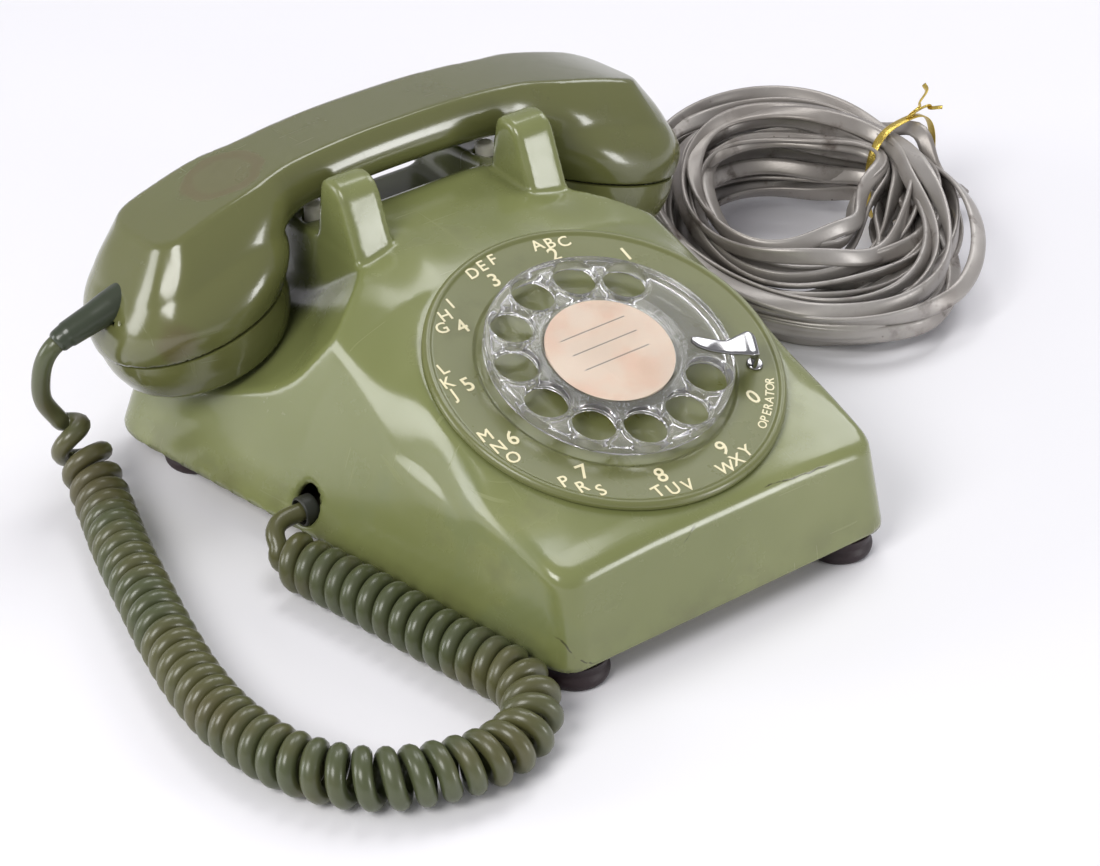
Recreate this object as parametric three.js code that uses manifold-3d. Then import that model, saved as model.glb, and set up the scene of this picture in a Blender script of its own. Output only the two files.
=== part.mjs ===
// A rotary desk telephone: moulded casing, dial, ringer, hook switch, handset and cords.
// Millimetres, +X to the user's right, -Y to the user, +Z up, origin on the table under the middle.
import * as THREE from 'three';
import { ConvexGeometry } from 'three/addons/geometries/ConvexGeometry.js';
import { mergeVertices } from 'three/addons/utils/BufferGeometryUtils.js';
import Module from 'manifold-3d';

const wasm = await Module();
wasm.setup();

// ---------- driving dimensions ----------
const GAP = 0.3; // between pieces that touch
const RUNNING = 0.4; // radial play of pieces that move

const FRONT_Y = -103; // front edge of the casing
const CASE_DEPTH = 200;
const FRONT_HALF = 61.5; // half width at the front edge
const REAR_HALF = 101; // half width at the rear edge
const CASE_Z = 8.6; // lower edge of the casing
const CASE_WALL = 2.8;
const FRONT_CORNER = 7; // corner radii of the casing in plan
const REAR_CORNER = 20;
const LIP_Z = 39.2; // front lip, where the face starts
const LIP_SETBACK = 5.4;
const LIP_HALF = 59.4;
const SHOULDER_Y = 12; // where the face ends at each side
const SHOULDER_Z = 66.7;
const SHOULDER_HALF = 60.7;
const BROW_Y = 30; // front of the cradle
const CRADLE_Z = 78.5; // top of the cradle between the ears
const SADDLE_FALL = 2.6; // how much lower the rear of the cradle's arms is
const EAR_OUT = 40; // outer side of an ear
const EAR_IN = 26; // inner side of an ear
const EAR_TOP = 97.4;
const REAR_EAR_TOP = 87;
const RECESS_Y = 57; // rear of the cradle's flat top
const WELL_Z = 57.2; // well floor at the cradle wall
const WELL_Y = 40.5; // where WELL_Z is measured
const WELL_FALL_X = 0.47; // fall of the well floor outwards
const WELL_FALL_Y = 0.2; // fall of the well floor rearwards
const HOLD_FALL_Y = 0.05; // fall of the hand hold's floor rearwards

const PLATE_THICK = 1.6; // steel base plate
const PLATE_CLEAR = 1.6; // between the plate's edge and the casing
const FOOT_RADIUS = 10.5;
const FOOT_HALF_FRONT = 50.5;
const FOOT_HALF_REAR = 80;
const FOOT_FRONT_Y = -92;
const FOOT_REAR_Y = 69;

const DIAL_Y = -40.6;
const DIAL_Z = 58.8;
const DIAL_TILT = THREE.MathUtils.degToRad(18.4);
const DIAL_HOLE = 51; // radius of the opening in the face
const FRAME_RADIUS = DIAL_HOLE - 3; // dial frame behind the number plate
const PLATE_RADIUS = 55.5; // number plate
const PLATE_TOP = 3;
const WHEEL_RADIUS = 38.1;
const WHEEL_TOP = 9.4;
const WHEEL_WEB = 3.2; // thickness of the wheel's disc
const WHEEL_DEPTH = 5.2; // rim and finger collars
const HOLE_RING = 29.8; // circle of the finger holes
const HOLE_RADIUS = 6.6;
const HOLE_COUNT = 10;
const FIRST_HOLE = 45; // degrees, from +X
const HOLE_STEP = 30;
const CARD_RADIUS = 19.1;
const SPINDLE_RADIUS = 3;
const STOP_ANGLE = -27; // degrees
const GEAR_TEETH = 36;
const PINION_TEETH = 12;
const GEAR_MODULE = 1.1;

const HANDSET_Y = 71.7; // middle of the handset in its cradle
const HANDSET_Z = 55.2;
const HANDSET_TILT = THREE.MathUtils.degToRad(-6);
const CAP_SPREAD = 76.8; // cap centre from the middle
const CAP_RADIUS = 30.8;
const CAP_TILT = THREE.MathUtils.degToRad(15.5);
const CAP_DEPTH = 14.5;
const CAP_WALL = 2.4;
const GRIP_TOP = 44; // above the cap centres
const GRIP_END_TOP = 29;
const GRIP_END = 91.6;
const GRIP_HALF_TOP = 14.3;
const GRIP_HALF_MID = 17.6;
const GRIP_HEIGHT = 18.7;
const BELL_SWELL = 1.6; // how far a bell bulges past its cap

const PLUNGER_RADIUS = 3.2;
const PLUNGER_Y = 66;
const PLUNGER_X = (EAR_OUT + EAR_IN) / 2;
const PLUNGER_FOOT_Z = 63.3;
const LEVER_Y = 46; // hook lever's pivot
const LEVER_Z = 60;

const CORD_RADIUS = 3.1; // handset cord
const COIL_RADIUS = 9.2; // outside of the curly part
const BUNDLE = { x: 155, y: 43, outer: 58, inner: 22, height: 30, stretch: 1.13 };
const LINE_WIDTH = 5.4; // flat line cord
const LINE_THICK = 2.6;
const CORD_BORE = CORD_RADIUS + GAP; // grommets: bores and outsides
const CORD_BUSH = CORD_BORE + 1.2;
const LINE_BORE = LINE_WIDTH / 2 + 0.2;
const LINE_BUSH = LINE_BORE + 0.7;
const BUSH_LONG = 5;
const PLUG = { x: 190, y: 109, long: 21, wide: 9.6, tall: 7.6 }; // end of the line cord
const TIE_ANGLE = THREE.MathUtils.degToRad(6);

// ---------- helpers ----------
const v3 = (x, y, z) => new THREE.Vector3(x, y, z);
const v2 = (x, y) => new THREE.Vector2(x, y);
const rod = (radius, long, sides) =>
  new THREE.CylinderGeometry(radius, radius, long, sides).rotateZ(Math.PI / 2);

function solid(geometry, matrix = null) {
  const plain = geometry.index ? geometry.toNonIndexed() : geometry.clone();
  const bare = new THREE.BufferGeometry();
  bare.setAttribute('position', plain.getAttribute('position'));
  if (matrix) bare.applyMatrix4(matrix);
  const merged = mergeVertices(bare, 1e-4);
  return new wasm.Manifold(
    new wasm.Mesh({
      numProp: 3,
      vertProperties: new Float32Array(merged.attributes.position.array),
      triVerts: new Uint32Array(merged.index.array),
    }),
  );
}

function geometryOf(manifold) {
  const mesh = manifold.getMesh();
  const geometry = new THREE.BufferGeometry();
  geometry.setAttribute('position', new THREE.BufferAttribute(new Float32Array(mesh.vertProperties), 3));
  geometry.setIndex(new THREE.BufferAttribute(new Uint32Array(mesh.triVerts), 1));
  return geometry;
}

const joined = (pieces) => pieces.reduce((sum, piece) => sum.add(piece));
const cutFrom = (body, tools) => tools.reduce((rest, tool) => rest.subtract(tool), body);

function box(x0, x1, y0, y1, z0, z1) {
  const geometry = new THREE.BoxGeometry(x1 - x0, y1 - y0, z1 - z0);
  return geometry.translate((x0 + x1) / 2, (y0 + y1) / 2, (z0 + z1) / 2);
}

// A round bar along Z, from z0 to z1.
function bar(radius, z0, z1, sides = 20, x = 0, y = 0) {
  const geometry = new THREE.CylinderGeometry(radius, radius, z1 - z0, sides);
  return geometry.rotateX(Math.PI / 2).translate(x, y, (z0 + z1) / 2);
}

// A turned piece about Z, from [radius, z] pairs that start low on the outside or the axis.
function turned(profile, sides = 32) {
  const geometry = new THREE.LatheGeometry(profile.map(([r, z]) => v2(r, z)), sides);
  return geometry.rotateX(Math.PI / 2);
}

// A closed ring about Z: the outline is given anticlockwise in radius and height.
function ring(profile, sides = 32) {
  return turned([...profile, profile[0]], sides);
}

// A flat outline in Y and Z, extruded along X from x0 to x1.
function slabYZ(outline, x0, x1) {
  const shape = new THREE.Shape(outline.map(([y, z]) => v2(y, z)));
  const geometry = new THREE.ExtrudeGeometry(shape, { depth: x1 - x0, bevelEnabled: false });
  geometry.applyMatrix4(new THREE.Matrix4().makeBasis(v3(0, 1, 0), v3(0, 0, 1), v3(1, 0, 0)));
  return geometry.translate(x0, 0, 0);
}

// A flat outline in X and Y, extruded upwards from z0 to z1.
function slabXY(outline, z0, z1) {
  const shape = new THREE.Shape(outline.map(([x, y]) => v2(x, y)));
  const geometry = new THREE.ExtrudeGeometry(shape, { depth: z1 - z0, bevelEnabled: false });
  return geometry.translate(0, 0, z0);
}

// Everything on the side of a plane that its normal points to.
function halfSpace(normal, point) {
  const size = 600;
  const geometry = new THREE.BoxGeometry(size, size, size).translate(0, 0, size / 2);
  const turn = new THREE.Quaternion().setFromUnitVectors(v3(0, 0, 1), normal.clone().normalize());
  return solid(geometry, new THREE.Matrix4().compose(point, turn, v3(1, 1, 1)));
}

// A closed skin over rings that have the same number of points.
function loft(rings) {
  const count = rings[0].length;
  const points = [];
  const faces = [];
  const at = (r, i) => r * count + (i % count);
  rings.forEach((one) => one.forEach((p) => points.push(p.x, p.y, p.z)));
  for (let r = 0; r + 1 < rings.length; r++) {
    for (let i = 0; i < count; i++) {
      faces.push(at(r, i), at(r, i + 1), at(r + 1, i + 1));
      faces.push(at(r, i), at(r + 1, i + 1), at(r + 1, i));
    }
  }
  for (const [r, flip] of [[0, true], [rings.length - 1, false]]) {
    const middle = new THREE.Vector3();
    rings[r].forEach((p) => middle.addScaledVector(p, 1 / count));
    points.push(middle.x, middle.y, middle.z);
    const centre = points.length / 3 - 1;
    for (let i = 0; i < count; i++) {
      if (flip) faces.push(centre, at(r, i + 1), at(r, i));
      else faces.push(centre, at(r, i), at(r, i + 1));
    }
  }
  const geometry = new THREE.BufferGeometry();
  geometry.setAttribute('position', new THREE.Float32BufferAttribute(points, 3));
  geometry.setIndex(faces);
  return geometry;
}

// A round or flat section drawn along a smooth path.
function tube(points, halfWide, halfThick, sides, steps) {
  const shape = new THREE.Shape();
  for (let i = 0; i < sides; i++) {
    const a = (2 * Math.PI * i) / sides;
    const place = [halfThick * Math.cos(a), halfWide * Math.sin(a)];
    if (i === 0) shape.moveTo(...place);
    else shape.lineTo(...place);
  }
  const path = new THREE.CatmullRomCurve3(points, false, 'centripetal');
  return new THREE.ExtrudeGeometry(shape, { steps, extrudePath: path, bevelEnabled: false, curveSegments: 1 });
}

// ---------- finishes ----------
const finish = (color, roughness, metalness = 0) => ({ color, roughness, metalness });
const FINISH = {
  casing: finish(0x6f7a48, 0.3),
  handset: finish(0x747d4c, 0.28),
  numberPlate: finish(0x5c6b38, 0.35),
  clear: finish(0xd9dadb, 0.08),
  card: finish(0xe6c9b4, 0.8),
  chrome: finish(0xc8c8c8, 0.15, 1),
  steel: finish(0x9a9a96, 0.4, 1),
  zinc: finish(0xb3ab84, 0.45, 1),
  brass: finish(0xb4924a, 0.3, 1),
  foot: finish(0x3a1f1f, 0.75),
  black: finish(0x1d1d1d, 0.6),
  bakelite: finish(0x3a3a38, 0.5),
  copper: finish(0x8a3f22, 0.4, 0.6),
  plunger: finish(0xd6d4c6, 0.3),
  greenCord: finish(0x4c5a3c, 0.5),
  silverCord: finish(0x96928b, 0.45),
  tie: finish(0xb79a2e, 0.4, 0.5),
};

const phone = new THREE.Group();
const dial = new THREE.Group();
dial.position.set(0, DIAL_Y, DIAL_Z);
dial.rotation.x = DIAL_TILT;
const handset = new THREE.Group();
handset.position.set(0, HANDSET_Y, HANDSET_Z);
handset.rotation.x = HANDSET_TILT;
phone.add(dial, handset);

function place(parent, name, shape, look) {
  const geometry = shape.isBufferGeometry ? shape : geometryOf(shape);
  const mesh = new THREE.Mesh(geometry, new THREE.MeshStandardMaterial(look));
  mesh.name = name;
  parent.add(mesh);
  return mesh;
}

const inDial = new THREE.Matrix4().compose(
  v3(0, DIAL_Y, DIAL_Z),
  new THREE.Quaternion().setFromAxisAngle(v3(1, 0, 0), DIAL_TILT),
  v3(1, 1, 1),
);

// ---------- casing ----------
const REAR_Y = FRONT_Y + CASE_DEPTH;
const sideSpread = (REAR_HALF - FRONT_HALF) / CASE_DEPTH;
const halfAt = (y) => FRONT_HALF + sideSpread * (y - FRONT_Y);

// The plan of the casing's lower edge, drawn in by inset, with round corners.
function caseOutline(inset) {
  const outline = [];
  const corner = (side, rear, radius) => {
    const y = rear ? REAR_Y - radius : FRONT_Y + radius;
    const x = halfAt(y) - radius;
    const [from, to] = rear ? [0.06, 0.5] : [-0.5, 0.06];
    for (let i = 0; i <= 4; i++) {
      const t = from + ((to - from) * (side > 0 ? i : 4 - i)) / 4;
      const a = Math.PI * t;
      outline.push([side * (x + (radius - inset) * Math.cos(a)), y + (radius - inset) * Math.sin(a)]);
    }
  };
  corner(1, false, FRONT_CORNER);
  corner(1, true, REAR_CORNER);
  corner(-1, true, REAR_CORNER);
  corner(-1, false, FRONT_CORNER);
  return outline;
}

// The casing's bulk before the wells are cut, drawn in by inset.
function caseBulk(inset) {
  const points = [];
  caseOutline(inset).forEach(([x, y]) => points.push(v3(x, y, CASE_Z)));
  const pair = (x, y, z) => points.push(v3(x, y, z), v3(-x, y, z));
  const lipY = FRONT_Y + LIP_SETBACK + inset;
  pair(LIP_HALF - inset, lipY + 4, LIP_Z - inset);
  pair(LIP_HALF - 4 - inset, lipY, LIP_Z - inset - 1);
  pair(LIP_HALF - inset, lipY + 1, LIP_Z - 6 - inset);
  pair(SHOULDER_HALF - inset, SHOULDER_Y, SHOULDER_Z - inset);
  pair(EAR_OUT - inset, BROW_Y, CRADLE_Z - 3.5 - inset);
  pair(EAR_OUT - inset, REAR_Y - 4 - inset, CRADLE_Z - SADDLE_FALL - inset);
  pair(EAR_IN, BROW_Y + 3, CRADLE_Z - inset);
  pair(REAR_HALF - 28 - inset, REAR_Y - 6 - inset, 66);
  pair(REAR_HALF - 30 - inset, REAR_Y - 3 - inset, 50);
  const rim = DIAL_HOLE + 4.5;
  for (let i = 0; i < 24; i++) {
    const a = (Math.PI * (i + 0.5)) / 12;
    points.push(v3(rim * Math.cos(a), rim * Math.sin(a), -inset).applyMatrix4(inDial));
  }
  return solid(new ConvexGeometry(points));
}

// What is cut away for the handset's ends, at each side of the cradle.
function well(side, grow) {
  const front = v3(side * 0.64, 0.464, 0.617).normalize();
  const rim = v3(side * EAR_OUT, BROW_Y, CRADLE_Z - 3.5).addScaledVector(front, -grow);
  const floor = v3(side * WELL_FALL_X, WELL_FALL_Y, 1).normalize();
  const bed = v3(side * EAR_OUT, WELL_Y, WELL_Z).addScaledVector(floor, -grow);
  return halfSpace(v3(side, 0, 0), v3(side * (EAR_OUT - grow), 0, 0))
    .intersect(halfSpace(front, rim))
    .intersect(halfSpace(floor, bed));
}

// The hand hold behind the cradle, between the two arms.
function handHold(grow) {
  const floor = v3(0, HOLD_FALL_Y, 1).normalize();
  const bed = v3(0, WELL_Y, WELL_Z).addScaledVector(floor, -grow);
  const block = solid(box(-EAR_IN - grow, EAR_IN + grow, RECESS_Y - grow, 200, 0, 200));
  return block.intersect(halfSpace(floor, bed));
}

// Side view of the two ears that stand on one arm of the cradle.
function earOutline() {
  return [
    [BROW_Y, CRADLE_Z - 8], [BROW_Y, CRADLE_Z - 3.5],
    [BROW_Y + 8.2, EAR_TOP - 3], [BROW_Y + 10.2, EAR_TOP - 0.5],
    [BROW_Y + 13, EAR_TOP], [BROW_Y + 19, EAR_TOP - 0.4], [BROW_Y + 20.6, EAR_TOP - 2],
    [BROW_Y + 23, CRADLE_Z + 1.5], [BROW_Y + 26, CRADLE_Z - 0.8], [REAR_Y - 9, CRADLE_Z - SADDLE_FALL],
    [REAR_Y - 2, REAR_EAR_TOP], [REAR_Y + 1.8, REAR_EAR_TOP], [REAR_Y + 2.6, REAR_EAR_TOP - 3],
    [REAR_Y - 2, CRADLE_Z - 14], [REAR_Y - 11, CRADLE_Z - 14], [REAR_Y - 13, CRADLE_Z - 6],
    [BROW_Y + 8, CRADLE_Z - 6],
  ];
}

const CORD_HOLE = v3(-halfAt(4.8) + 2, 4.8, 15.6);
const LINE_HOLE = v3(60, REAR_Y, 15);
const BOSS_FRONT_Y = FRONT_Y + 14;
const BOSS_REAR_Y = REAR_Y - 12;
const BOSS_TOP = { [BOSS_FRONT_Y]: 38, [BOSS_REAR_Y]: WELL_Z - HOLD_FALL_Y * (BOSS_REAR_Y - WELL_Y) - 1 };

function casingShell() {
  let outer = caseBulk(0);
  let inner = caseBulk(CASE_WALL).add(solid(slabXY(caseOutline(CASE_WALL), CASE_Z - 5, CASE_Z + 0.1)));
  for (const side of [-1, 1]) {
    outer = outer.subtract(well(side, 0));
    inner = inner.subtract(well(side, CASE_WALL));
  }
  outer = outer.subtract(handHold(0));
  inner = inner.subtract(handHold(CASE_WALL));
  const ears = [-1, 1].map((side) =>
    solid(slabYZ(earOutline(), side > 0 ? EAR_IN : -EAR_OUT, side > 0 ? EAR_OUT : -EAR_IN)));
  const bosses = [BOSS_FRONT_Y, BOSS_REAR_Y].map((y) =>
    solid(bar(5, CASE_Z + 4, BOSS_TOP[y], 16, 0, y)).intersect(outer));
  const tools = [
    solid(bar(DIAL_HOLE, -40, 40, 64), inDial).intersect(halfSpace(v3(0, 0, 1), v3(0, 0, 30))),
    solid(rod(CORD_BUSH + RUNNING, 30, 16).translate(...CORD_HOLE)),
    solid(rod(LINE_BUSH + RUNNING, 20, 16).rotateZ(Math.PI / 2).translate(...LINE_HOLE)),
    ...[-1, 1].map((side) =>
      solid(bar(PLUNGER_RADIUS + RUNNING, LEVER_Z, CRADLE_Z + 5, 16, side * PLUNGER_X, PLUNGER_Y))),
    ...[BOSS_FRONT_Y, BOSS_REAR_Y].map((y) => solid(bar(2, 0, 30, 12, 0, y))),
  ];
  return cutFrom(joined([outer.subtract(inner), ...ears, ...bosses]), tools);
}

place(phone, 'housing_shell', casingShell(), FINISH.casing);

// ---------- base ----------
const BASE_Z = CASE_Z + 0.8;
const BASE_TOP = BASE_Z + PLATE_THICK;
const VOLUME = { x: 61, y: -8, radius: 12, thick: 3 };

const baseHoles = [
  ...[BOSS_FRONT_Y, BOSS_REAR_Y].map((y) => [0, y, 2.4]),
  [VOLUME.x, VOLUME.y, 2.5 + RUNNING],
];
place(
  phone,
  'base_plate',
  cutFrom(
    solid(slabXY(caseOutline(CASE_WALL + PLATE_CLEAR), BASE_Z, BASE_TOP)),
    baseHoles.map(([x, y, r]) => solid(bar(r, 0, 20, 16, x, y))),
  ),
  FINISH.zinc,
);

const FEET = {
  foot_front_left: [-FOOT_HALF_FRONT, FOOT_FRONT_Y],
  foot_front_right: [FOOT_HALF_FRONT, FOOT_FRONT_Y],
  foot_rear_left: [-FOOT_HALF_REAR, FOOT_REAR_Y],
  foot_rear_right: [FOOT_HALF_REAR, FOOT_REAR_Y],
};
for (const [name, [x, y]] of Object.entries(FEET)) {
  const top = CASE_Z - GAP;
  const pad = [[0, 0], [FOOT_RADIUS - 1.2, 0], [FOOT_RADIUS, 1.4], [FOOT_RADIUS - 0.8, top], [4, top]];
  const foot = turned([...pad, [4, BASE_Z - GAP], [0, BASE_Z - GAP]], 16);
  place(phone, name, foot, FINISH.foot).position.set(x, y, 0);
}

for (const [name, y] of [['housing_screw_front', BOSS_FRONT_Y], ['housing_screw_rear', BOSS_REAR_Y]]) {
  const profile = [[0, BASE_Z - 3], [3.4, BASE_Z - 3], [4, BASE_Z - 2.4], [4, BASE_Z - GAP]];
  const screw = turned([...profile, [1.7, BASE_Z - GAP], [1.7, 24], [0, 25]], 10);
  place(phone, name, screw, FINISH.steel).position.set(0, y, 0);
}

function volumeWheel() {
  const z0 = BASE_Z - GAP - VOLUME.thick;
  const rim = new THREE.Shape();
  for (let i = 0; i < 48; i++) {
    const r = VOLUME.radius - (i % 2 ? 0.7 : 0);
    const a = (Math.PI * i) / 24;
    if (i === 0) rim.moveTo(r, 0);
    else rim.lineTo(r * Math.cos(a), r * Math.sin(a));
  }
  const disc = new THREE.ExtrudeGeometry(rim, { depth: VOLUME.thick, bevelEnabled: false });
  disc.translate(0, 0, z0);
  return solid(disc).add(solid(bar(2.5, z0 + 1, BASE_TOP + 2, 12)));
}
place(phone, 'volume_wheel', volumeWheel(), FINISH.black).position.set(VOLUME.x, VOLUME.y, 0);

// ---------- dial ----------
place(
  dial,
  'number_plate',
  ring([
    [SPINDLE_RADIUS + RUNNING, GAP], [PLATE_RADIUS, GAP],
    [PLATE_RADIUS, PLATE_TOP - 0.8], [PLATE_RADIUS - 0.8, PLATE_TOP],
    [PLATE_RADIUS - 2, PLATE_TOP], [PLATE_RADIUS - 3, 2.2], [WHEEL_RADIUS + 2.4, 2.1], [WHEEL_RADIUS, 1.4],
    [SPINDLE_RADIUS + RUNNING, 1.4],
  ], 48),
  FINISH.numberPlate,
);

const holeAngle = (i) => THREE.MathUtils.degToRad(FIRST_HOLE + HOLE_STEP * i);
const WHEEL_LOW = WHEEL_TOP - WHEEL_DEPTH;
const CARD_SEAT = WHEEL_TOP - 1.2;
const HUB_LOW = WHEEL_TOP - WHEEL_WEB - 0.6; // underside of the wheel's middle
const COVER_LOW = CARD_SEAT + 2 * GAP + 0.3; // underside of the card's window

function fingerWheel() {
  const web = turned([
    [0, HUB_LOW], [CARD_RADIUS + 2, HUB_LOW],
    [CARD_RADIUS + 3, WHEEL_TOP - WHEEL_WEB], [WHEEL_RADIUS - 2, WHEEL_TOP - WHEEL_WEB],
    [WHEEL_RADIUS - 2, WHEEL_LOW], [WHEEL_RADIUS, WHEEL_LOW],
    [WHEEL_RADIUS, WHEEL_TOP - 1], [WHEEL_RADIUS - 1, WHEEL_TOP],
    [CARD_RADIUS + 1.4, WHEEL_TOP], [CARD_RADIUS + 1.4, CARD_SEAT], [0, CARD_SEAT],
  ], 48);
  const places = [...Array(HOLE_COUNT).keys()].map((i) =>
    [HOLE_RING * Math.cos(holeAngle(i)), HOLE_RING * Math.sin(holeAngle(i))]);
  const collars = places.map(([x, y]) => solid(bar(HOLE_RADIUS + 1.3, WHEEL_LOW, WHEEL_TOP - 1, 14, x, y)));
  const holes = places.map(([x, y]) => solid(bar(HOLE_RADIUS, 0, 20, 14, x, y)));
  const wheel = joined([solid(web), ...collars]);
  return cutFrom(wheel, holes);
}
place(dial, 'finger_wheel', fingerWheel(), FINISH.clear);
place(dial, 'number_card', bar(CARD_RADIUS, CARD_SEAT + GAP, CARD_SEAT + GAP + 0.3, 24), FINISH.card);
place(
  dial,
  'card_cover',
  turned([
    [0, COVER_LOW], [CARD_RADIUS + 1, COVER_LOW], [CARD_RADIUS + 1, WHEEL_TOP + 0.3],
    [CARD_RADIUS, WHEEL_TOP + 0.8], [0, WHEEL_TOP + 0.8],
  ], 24),
  FINISH.clear,
);

const FRAME_TOP = -2.2;
const FRAME_THICK = 1.8;
const GEAR_Z = -9;
const GEAR_THICK = 2.4;
const BRIDGE_Z = -19;
const gearRadius = (GEAR_MODULE * GEAR_TEETH) / 2;
const pinionRadius = (GEAR_MODULE * PINION_TEETH) / 2;
const SHAFT_DISTANCE = gearRadius + pinionRadius + GAP;
const SHAFT_ANGLE = THREE.MathUtils.degToRad(-150);
const SHAFT_X = SHAFT_DISTANCE * Math.cos(SHAFT_ANGLE);
const SHAFT_Y = SHAFT_DISTANCE * Math.sin(SHAFT_ANGLE);

place(
  dial,
  'dial_spindle',
  turned([
    [0, BRIDGE_Z + 1.5], [2, BRIDGE_Z + 1.5], [2, GEAR_Z - 4], [SPINDLE_RADIUS, GEAR_Z - 4],
    [SPINDLE_RADIUS, HUB_LOW - GAP], [0, HUB_LOW - GAP],
  ], 20),
  FINISH.steel,
);

// A wheel with slim tapered teeth, turned so that a tooth (or a space) lies at the given angle.
function gear(teeth, radius, bore, z0, z1, phase) {
  const shape = new THREE.Shape();
  const pitch = (2 * Math.PI) / teeth;
  const spots = [[-0.28, -1.25], [-0.11, 0.75], [0.11, 0.75], [0.28, -1.25]];
  for (let i = 0; i < teeth; i++) {
    spots.forEach(([share, lift], j) => {
      const a = phase + pitch * (i + share);
      const r = radius + lift * GEAR_MODULE;
      if (i + j === 0) shape.moveTo(r * Math.cos(a), r * Math.sin(a));
      else shape.lineTo(r * Math.cos(a), r * Math.sin(a));
    });
  }
  const blank = new THREE.ExtrudeGeometry(shape, { depth: z1 - z0, bevelEnabled: false });
  blank.translate(0, 0, z0);
  return solid(blank).subtract(solid(bar(bore, z0 - 5, z1 + 5, 20)));
}
place(
  dial,
  'main_gear',
  gear(GEAR_TEETH, gearRadius, SPINDLE_RADIUS + GAP, GEAR_Z, GEAR_Z + GEAR_THICK, SHAFT_ANGLE),
  FINISH.brass,
);

function dialFrame() {
  const low = FRAME_TOP - FRAME_THICK;
  const disc = turned([[0, low], [FRAME_RADIUS, low], [FRAME_RADIUS, FRAME_TOP], [0, FRAME_TOP]], 48);
  return cutFrom(solid(disc), [
    solid(bar(SPINDLE_RADIUS + RUNNING, -20, 20, 20)),
    solid(bar(2.4, -20, 20, 16, SHAFT_X, SHAFT_Y)),
  ]);
}
place(dial, 'dial_frame', dialFrame(), FINISH.zinc);

function dialBridge() {
  const plate = solid(box(-SHAFT_DISTANCE - 6, 12, -SHAFT_DISTANCE, 8, BRIDGE_Z - 1.6, BRIDGE_Z));
  return cutFrom(plate, [
    solid(bar(2 + RUNNING, -40, 0, 16)),
    solid(bar(1.5 + RUNNING, -40, 0, 16, SHAFT_X, SHAFT_Y)),
  ]);
}
place(dial, 'dial_bridge', dialBridge(), FINISH.steel);
const posts = [[8.5, -24.5], [-29, 4.5], [-29, -24.5]];
posts.forEach(([x, y], i) => {
  const post = bar(1.9, BRIDGE_Z + GAP, FRAME_TOP - FRAME_THICK - GAP, 12, x, y);
  place(dial, `dial_post_${i + 1}`, post, FINISH.steel);
});

const pulse = new THREE.Group();
pulse.position.set(SHAFT_X, SHAFT_Y, 0);
dial.add(pulse);
place(
  pulse,
  'pulse_shaft',
  turned([
    [0, BRIDGE_Z - 1], [1.5, BRIDGE_Z - 1],
    [1.5, FRAME_TOP - FRAME_THICK - GAP], [0, FRAME_TOP - FRAME_THICK - GAP],
  ], 12),
  FINISH.steel,
);
place(
  pulse,
  'pulse_pinion',
  gear(PINION_TEETH, pinionRadius, 1.5 + GAP, GEAR_Z - 0.5, GEAR_Z + GEAR_THICK + 0.5,
    SHAFT_ANGLE + Math.PI + Math.PI / PINION_TEETH),
  FINISH.brass,
);
place(
  pulse,
  'pulse_cam',
  solid(
    new THREE.CylinderGeometry(3.4, 3.4, 1.4, 16)
      .rotateX(Math.PI / 2)
      .scale(1, 0.72, 1)
      .translate(0, 0, GEAR_Z - 2.2),
  ).subtract(solid(bar(1.5 + GAP, -40, 0, 12))),
  FINISH.bakelite,
);
place(
  pulse,
  'governor_weights',
  joined([
    solid(bar(2.8, GEAR_Z - 7, GEAR_Z - 3.6, 12)),
    solid(box(-6.4, 6.4, -1.4, 1.4, GEAR_Z - 6.4, GEAR_Z - 4.2)),
  ]).subtract(solid(bar(1.5 + GAP, -40, 0, 12))),
  FINISH.brass,
);
place(
  dial,
  'governor_cup',
  ring([[7, BRIDGE_Z + GAP], [8.2, BRIDGE_Z + GAP], [8.2, GEAR_Z - 3.6], [7, GEAR_Z - 3.6]], 20),
  FINISH.steel,
).position.set(SHAFT_X, SHAFT_Y, 0);
place(
  dial,
  'pulse_contacts',
  joined([
    solid(box(-6, 6, -24, -22.9, GEAR_Z - 2.8, GEAR_Z - 1.6)),
    solid(box(0, 6, -24.5, -19.6, GEAR_Z - 8, GEAR_Z - 1)),
    solid(box(-6, 6, -21.2, -20.1, GEAR_Z - 2.8, GEAR_Z - 1.6)),
  ]),
  FINISH.bakelite,
);

// The hooked steel stop over the wheel's right-hand edge.
function fingerStop() {
  const top = WHEEL_TOP + 1.4;
  const outline = [
    [25.5, top + 0.4], [27, top], [38, top], [43.6, 2.5], [47, 2.5], [47, 3.8], [44.6, 4.2], [42, top + 1.6],
    [38, top + 1.6], [28, top + 1.4],
  ];
  const arm = slabYZ(outline.map(([r, z]) => [r, z]), -2.6, 2.6);
  const foot = box(-3.2, 3.2, 43.2, 48.4, 2.5, 3.8);
  return joined([solid(arm), solid(foot)]);
}
const stopMesh = place(dial, 'finger_stop', fingerStop(), FINISH.chrome);
stopMesh.rotation.z = THREE.MathUtils.degToRad(STOP_ANGLE - 90);

const frameUnder = (y) => (
  DIAL_Z + (y - DIAL_Y) * Math.tan(DIAL_TILT) + (FRAME_TOP - FRAME_THICK - GAP) / Math.cos(DIAL_TILT)
);
for (const [name, side] of [['dial_bracket_left', -1], ['dial_bracket_right', 1]]) {
  const [y0, y1] = [DIAL_Y - 18, DIAL_Y + 18];
  const low = BASE_TOP + GAP;
  const web = slabYZ([[y0, low], [y1, low], [y1, frameUnder(y1)], [y0, frameUnder(y0)]], -0.8, 0.8);
  const flange = box(-0.8, 7, y0, y1, low, low + 1.5);
  const bracket = joined([solid(web), solid(flange)]);
  place(phone, name, bracket, FINISH.zinc).position.set(side * (FRAME_RADIUS - 5.5), 0, 0);
}

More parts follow.
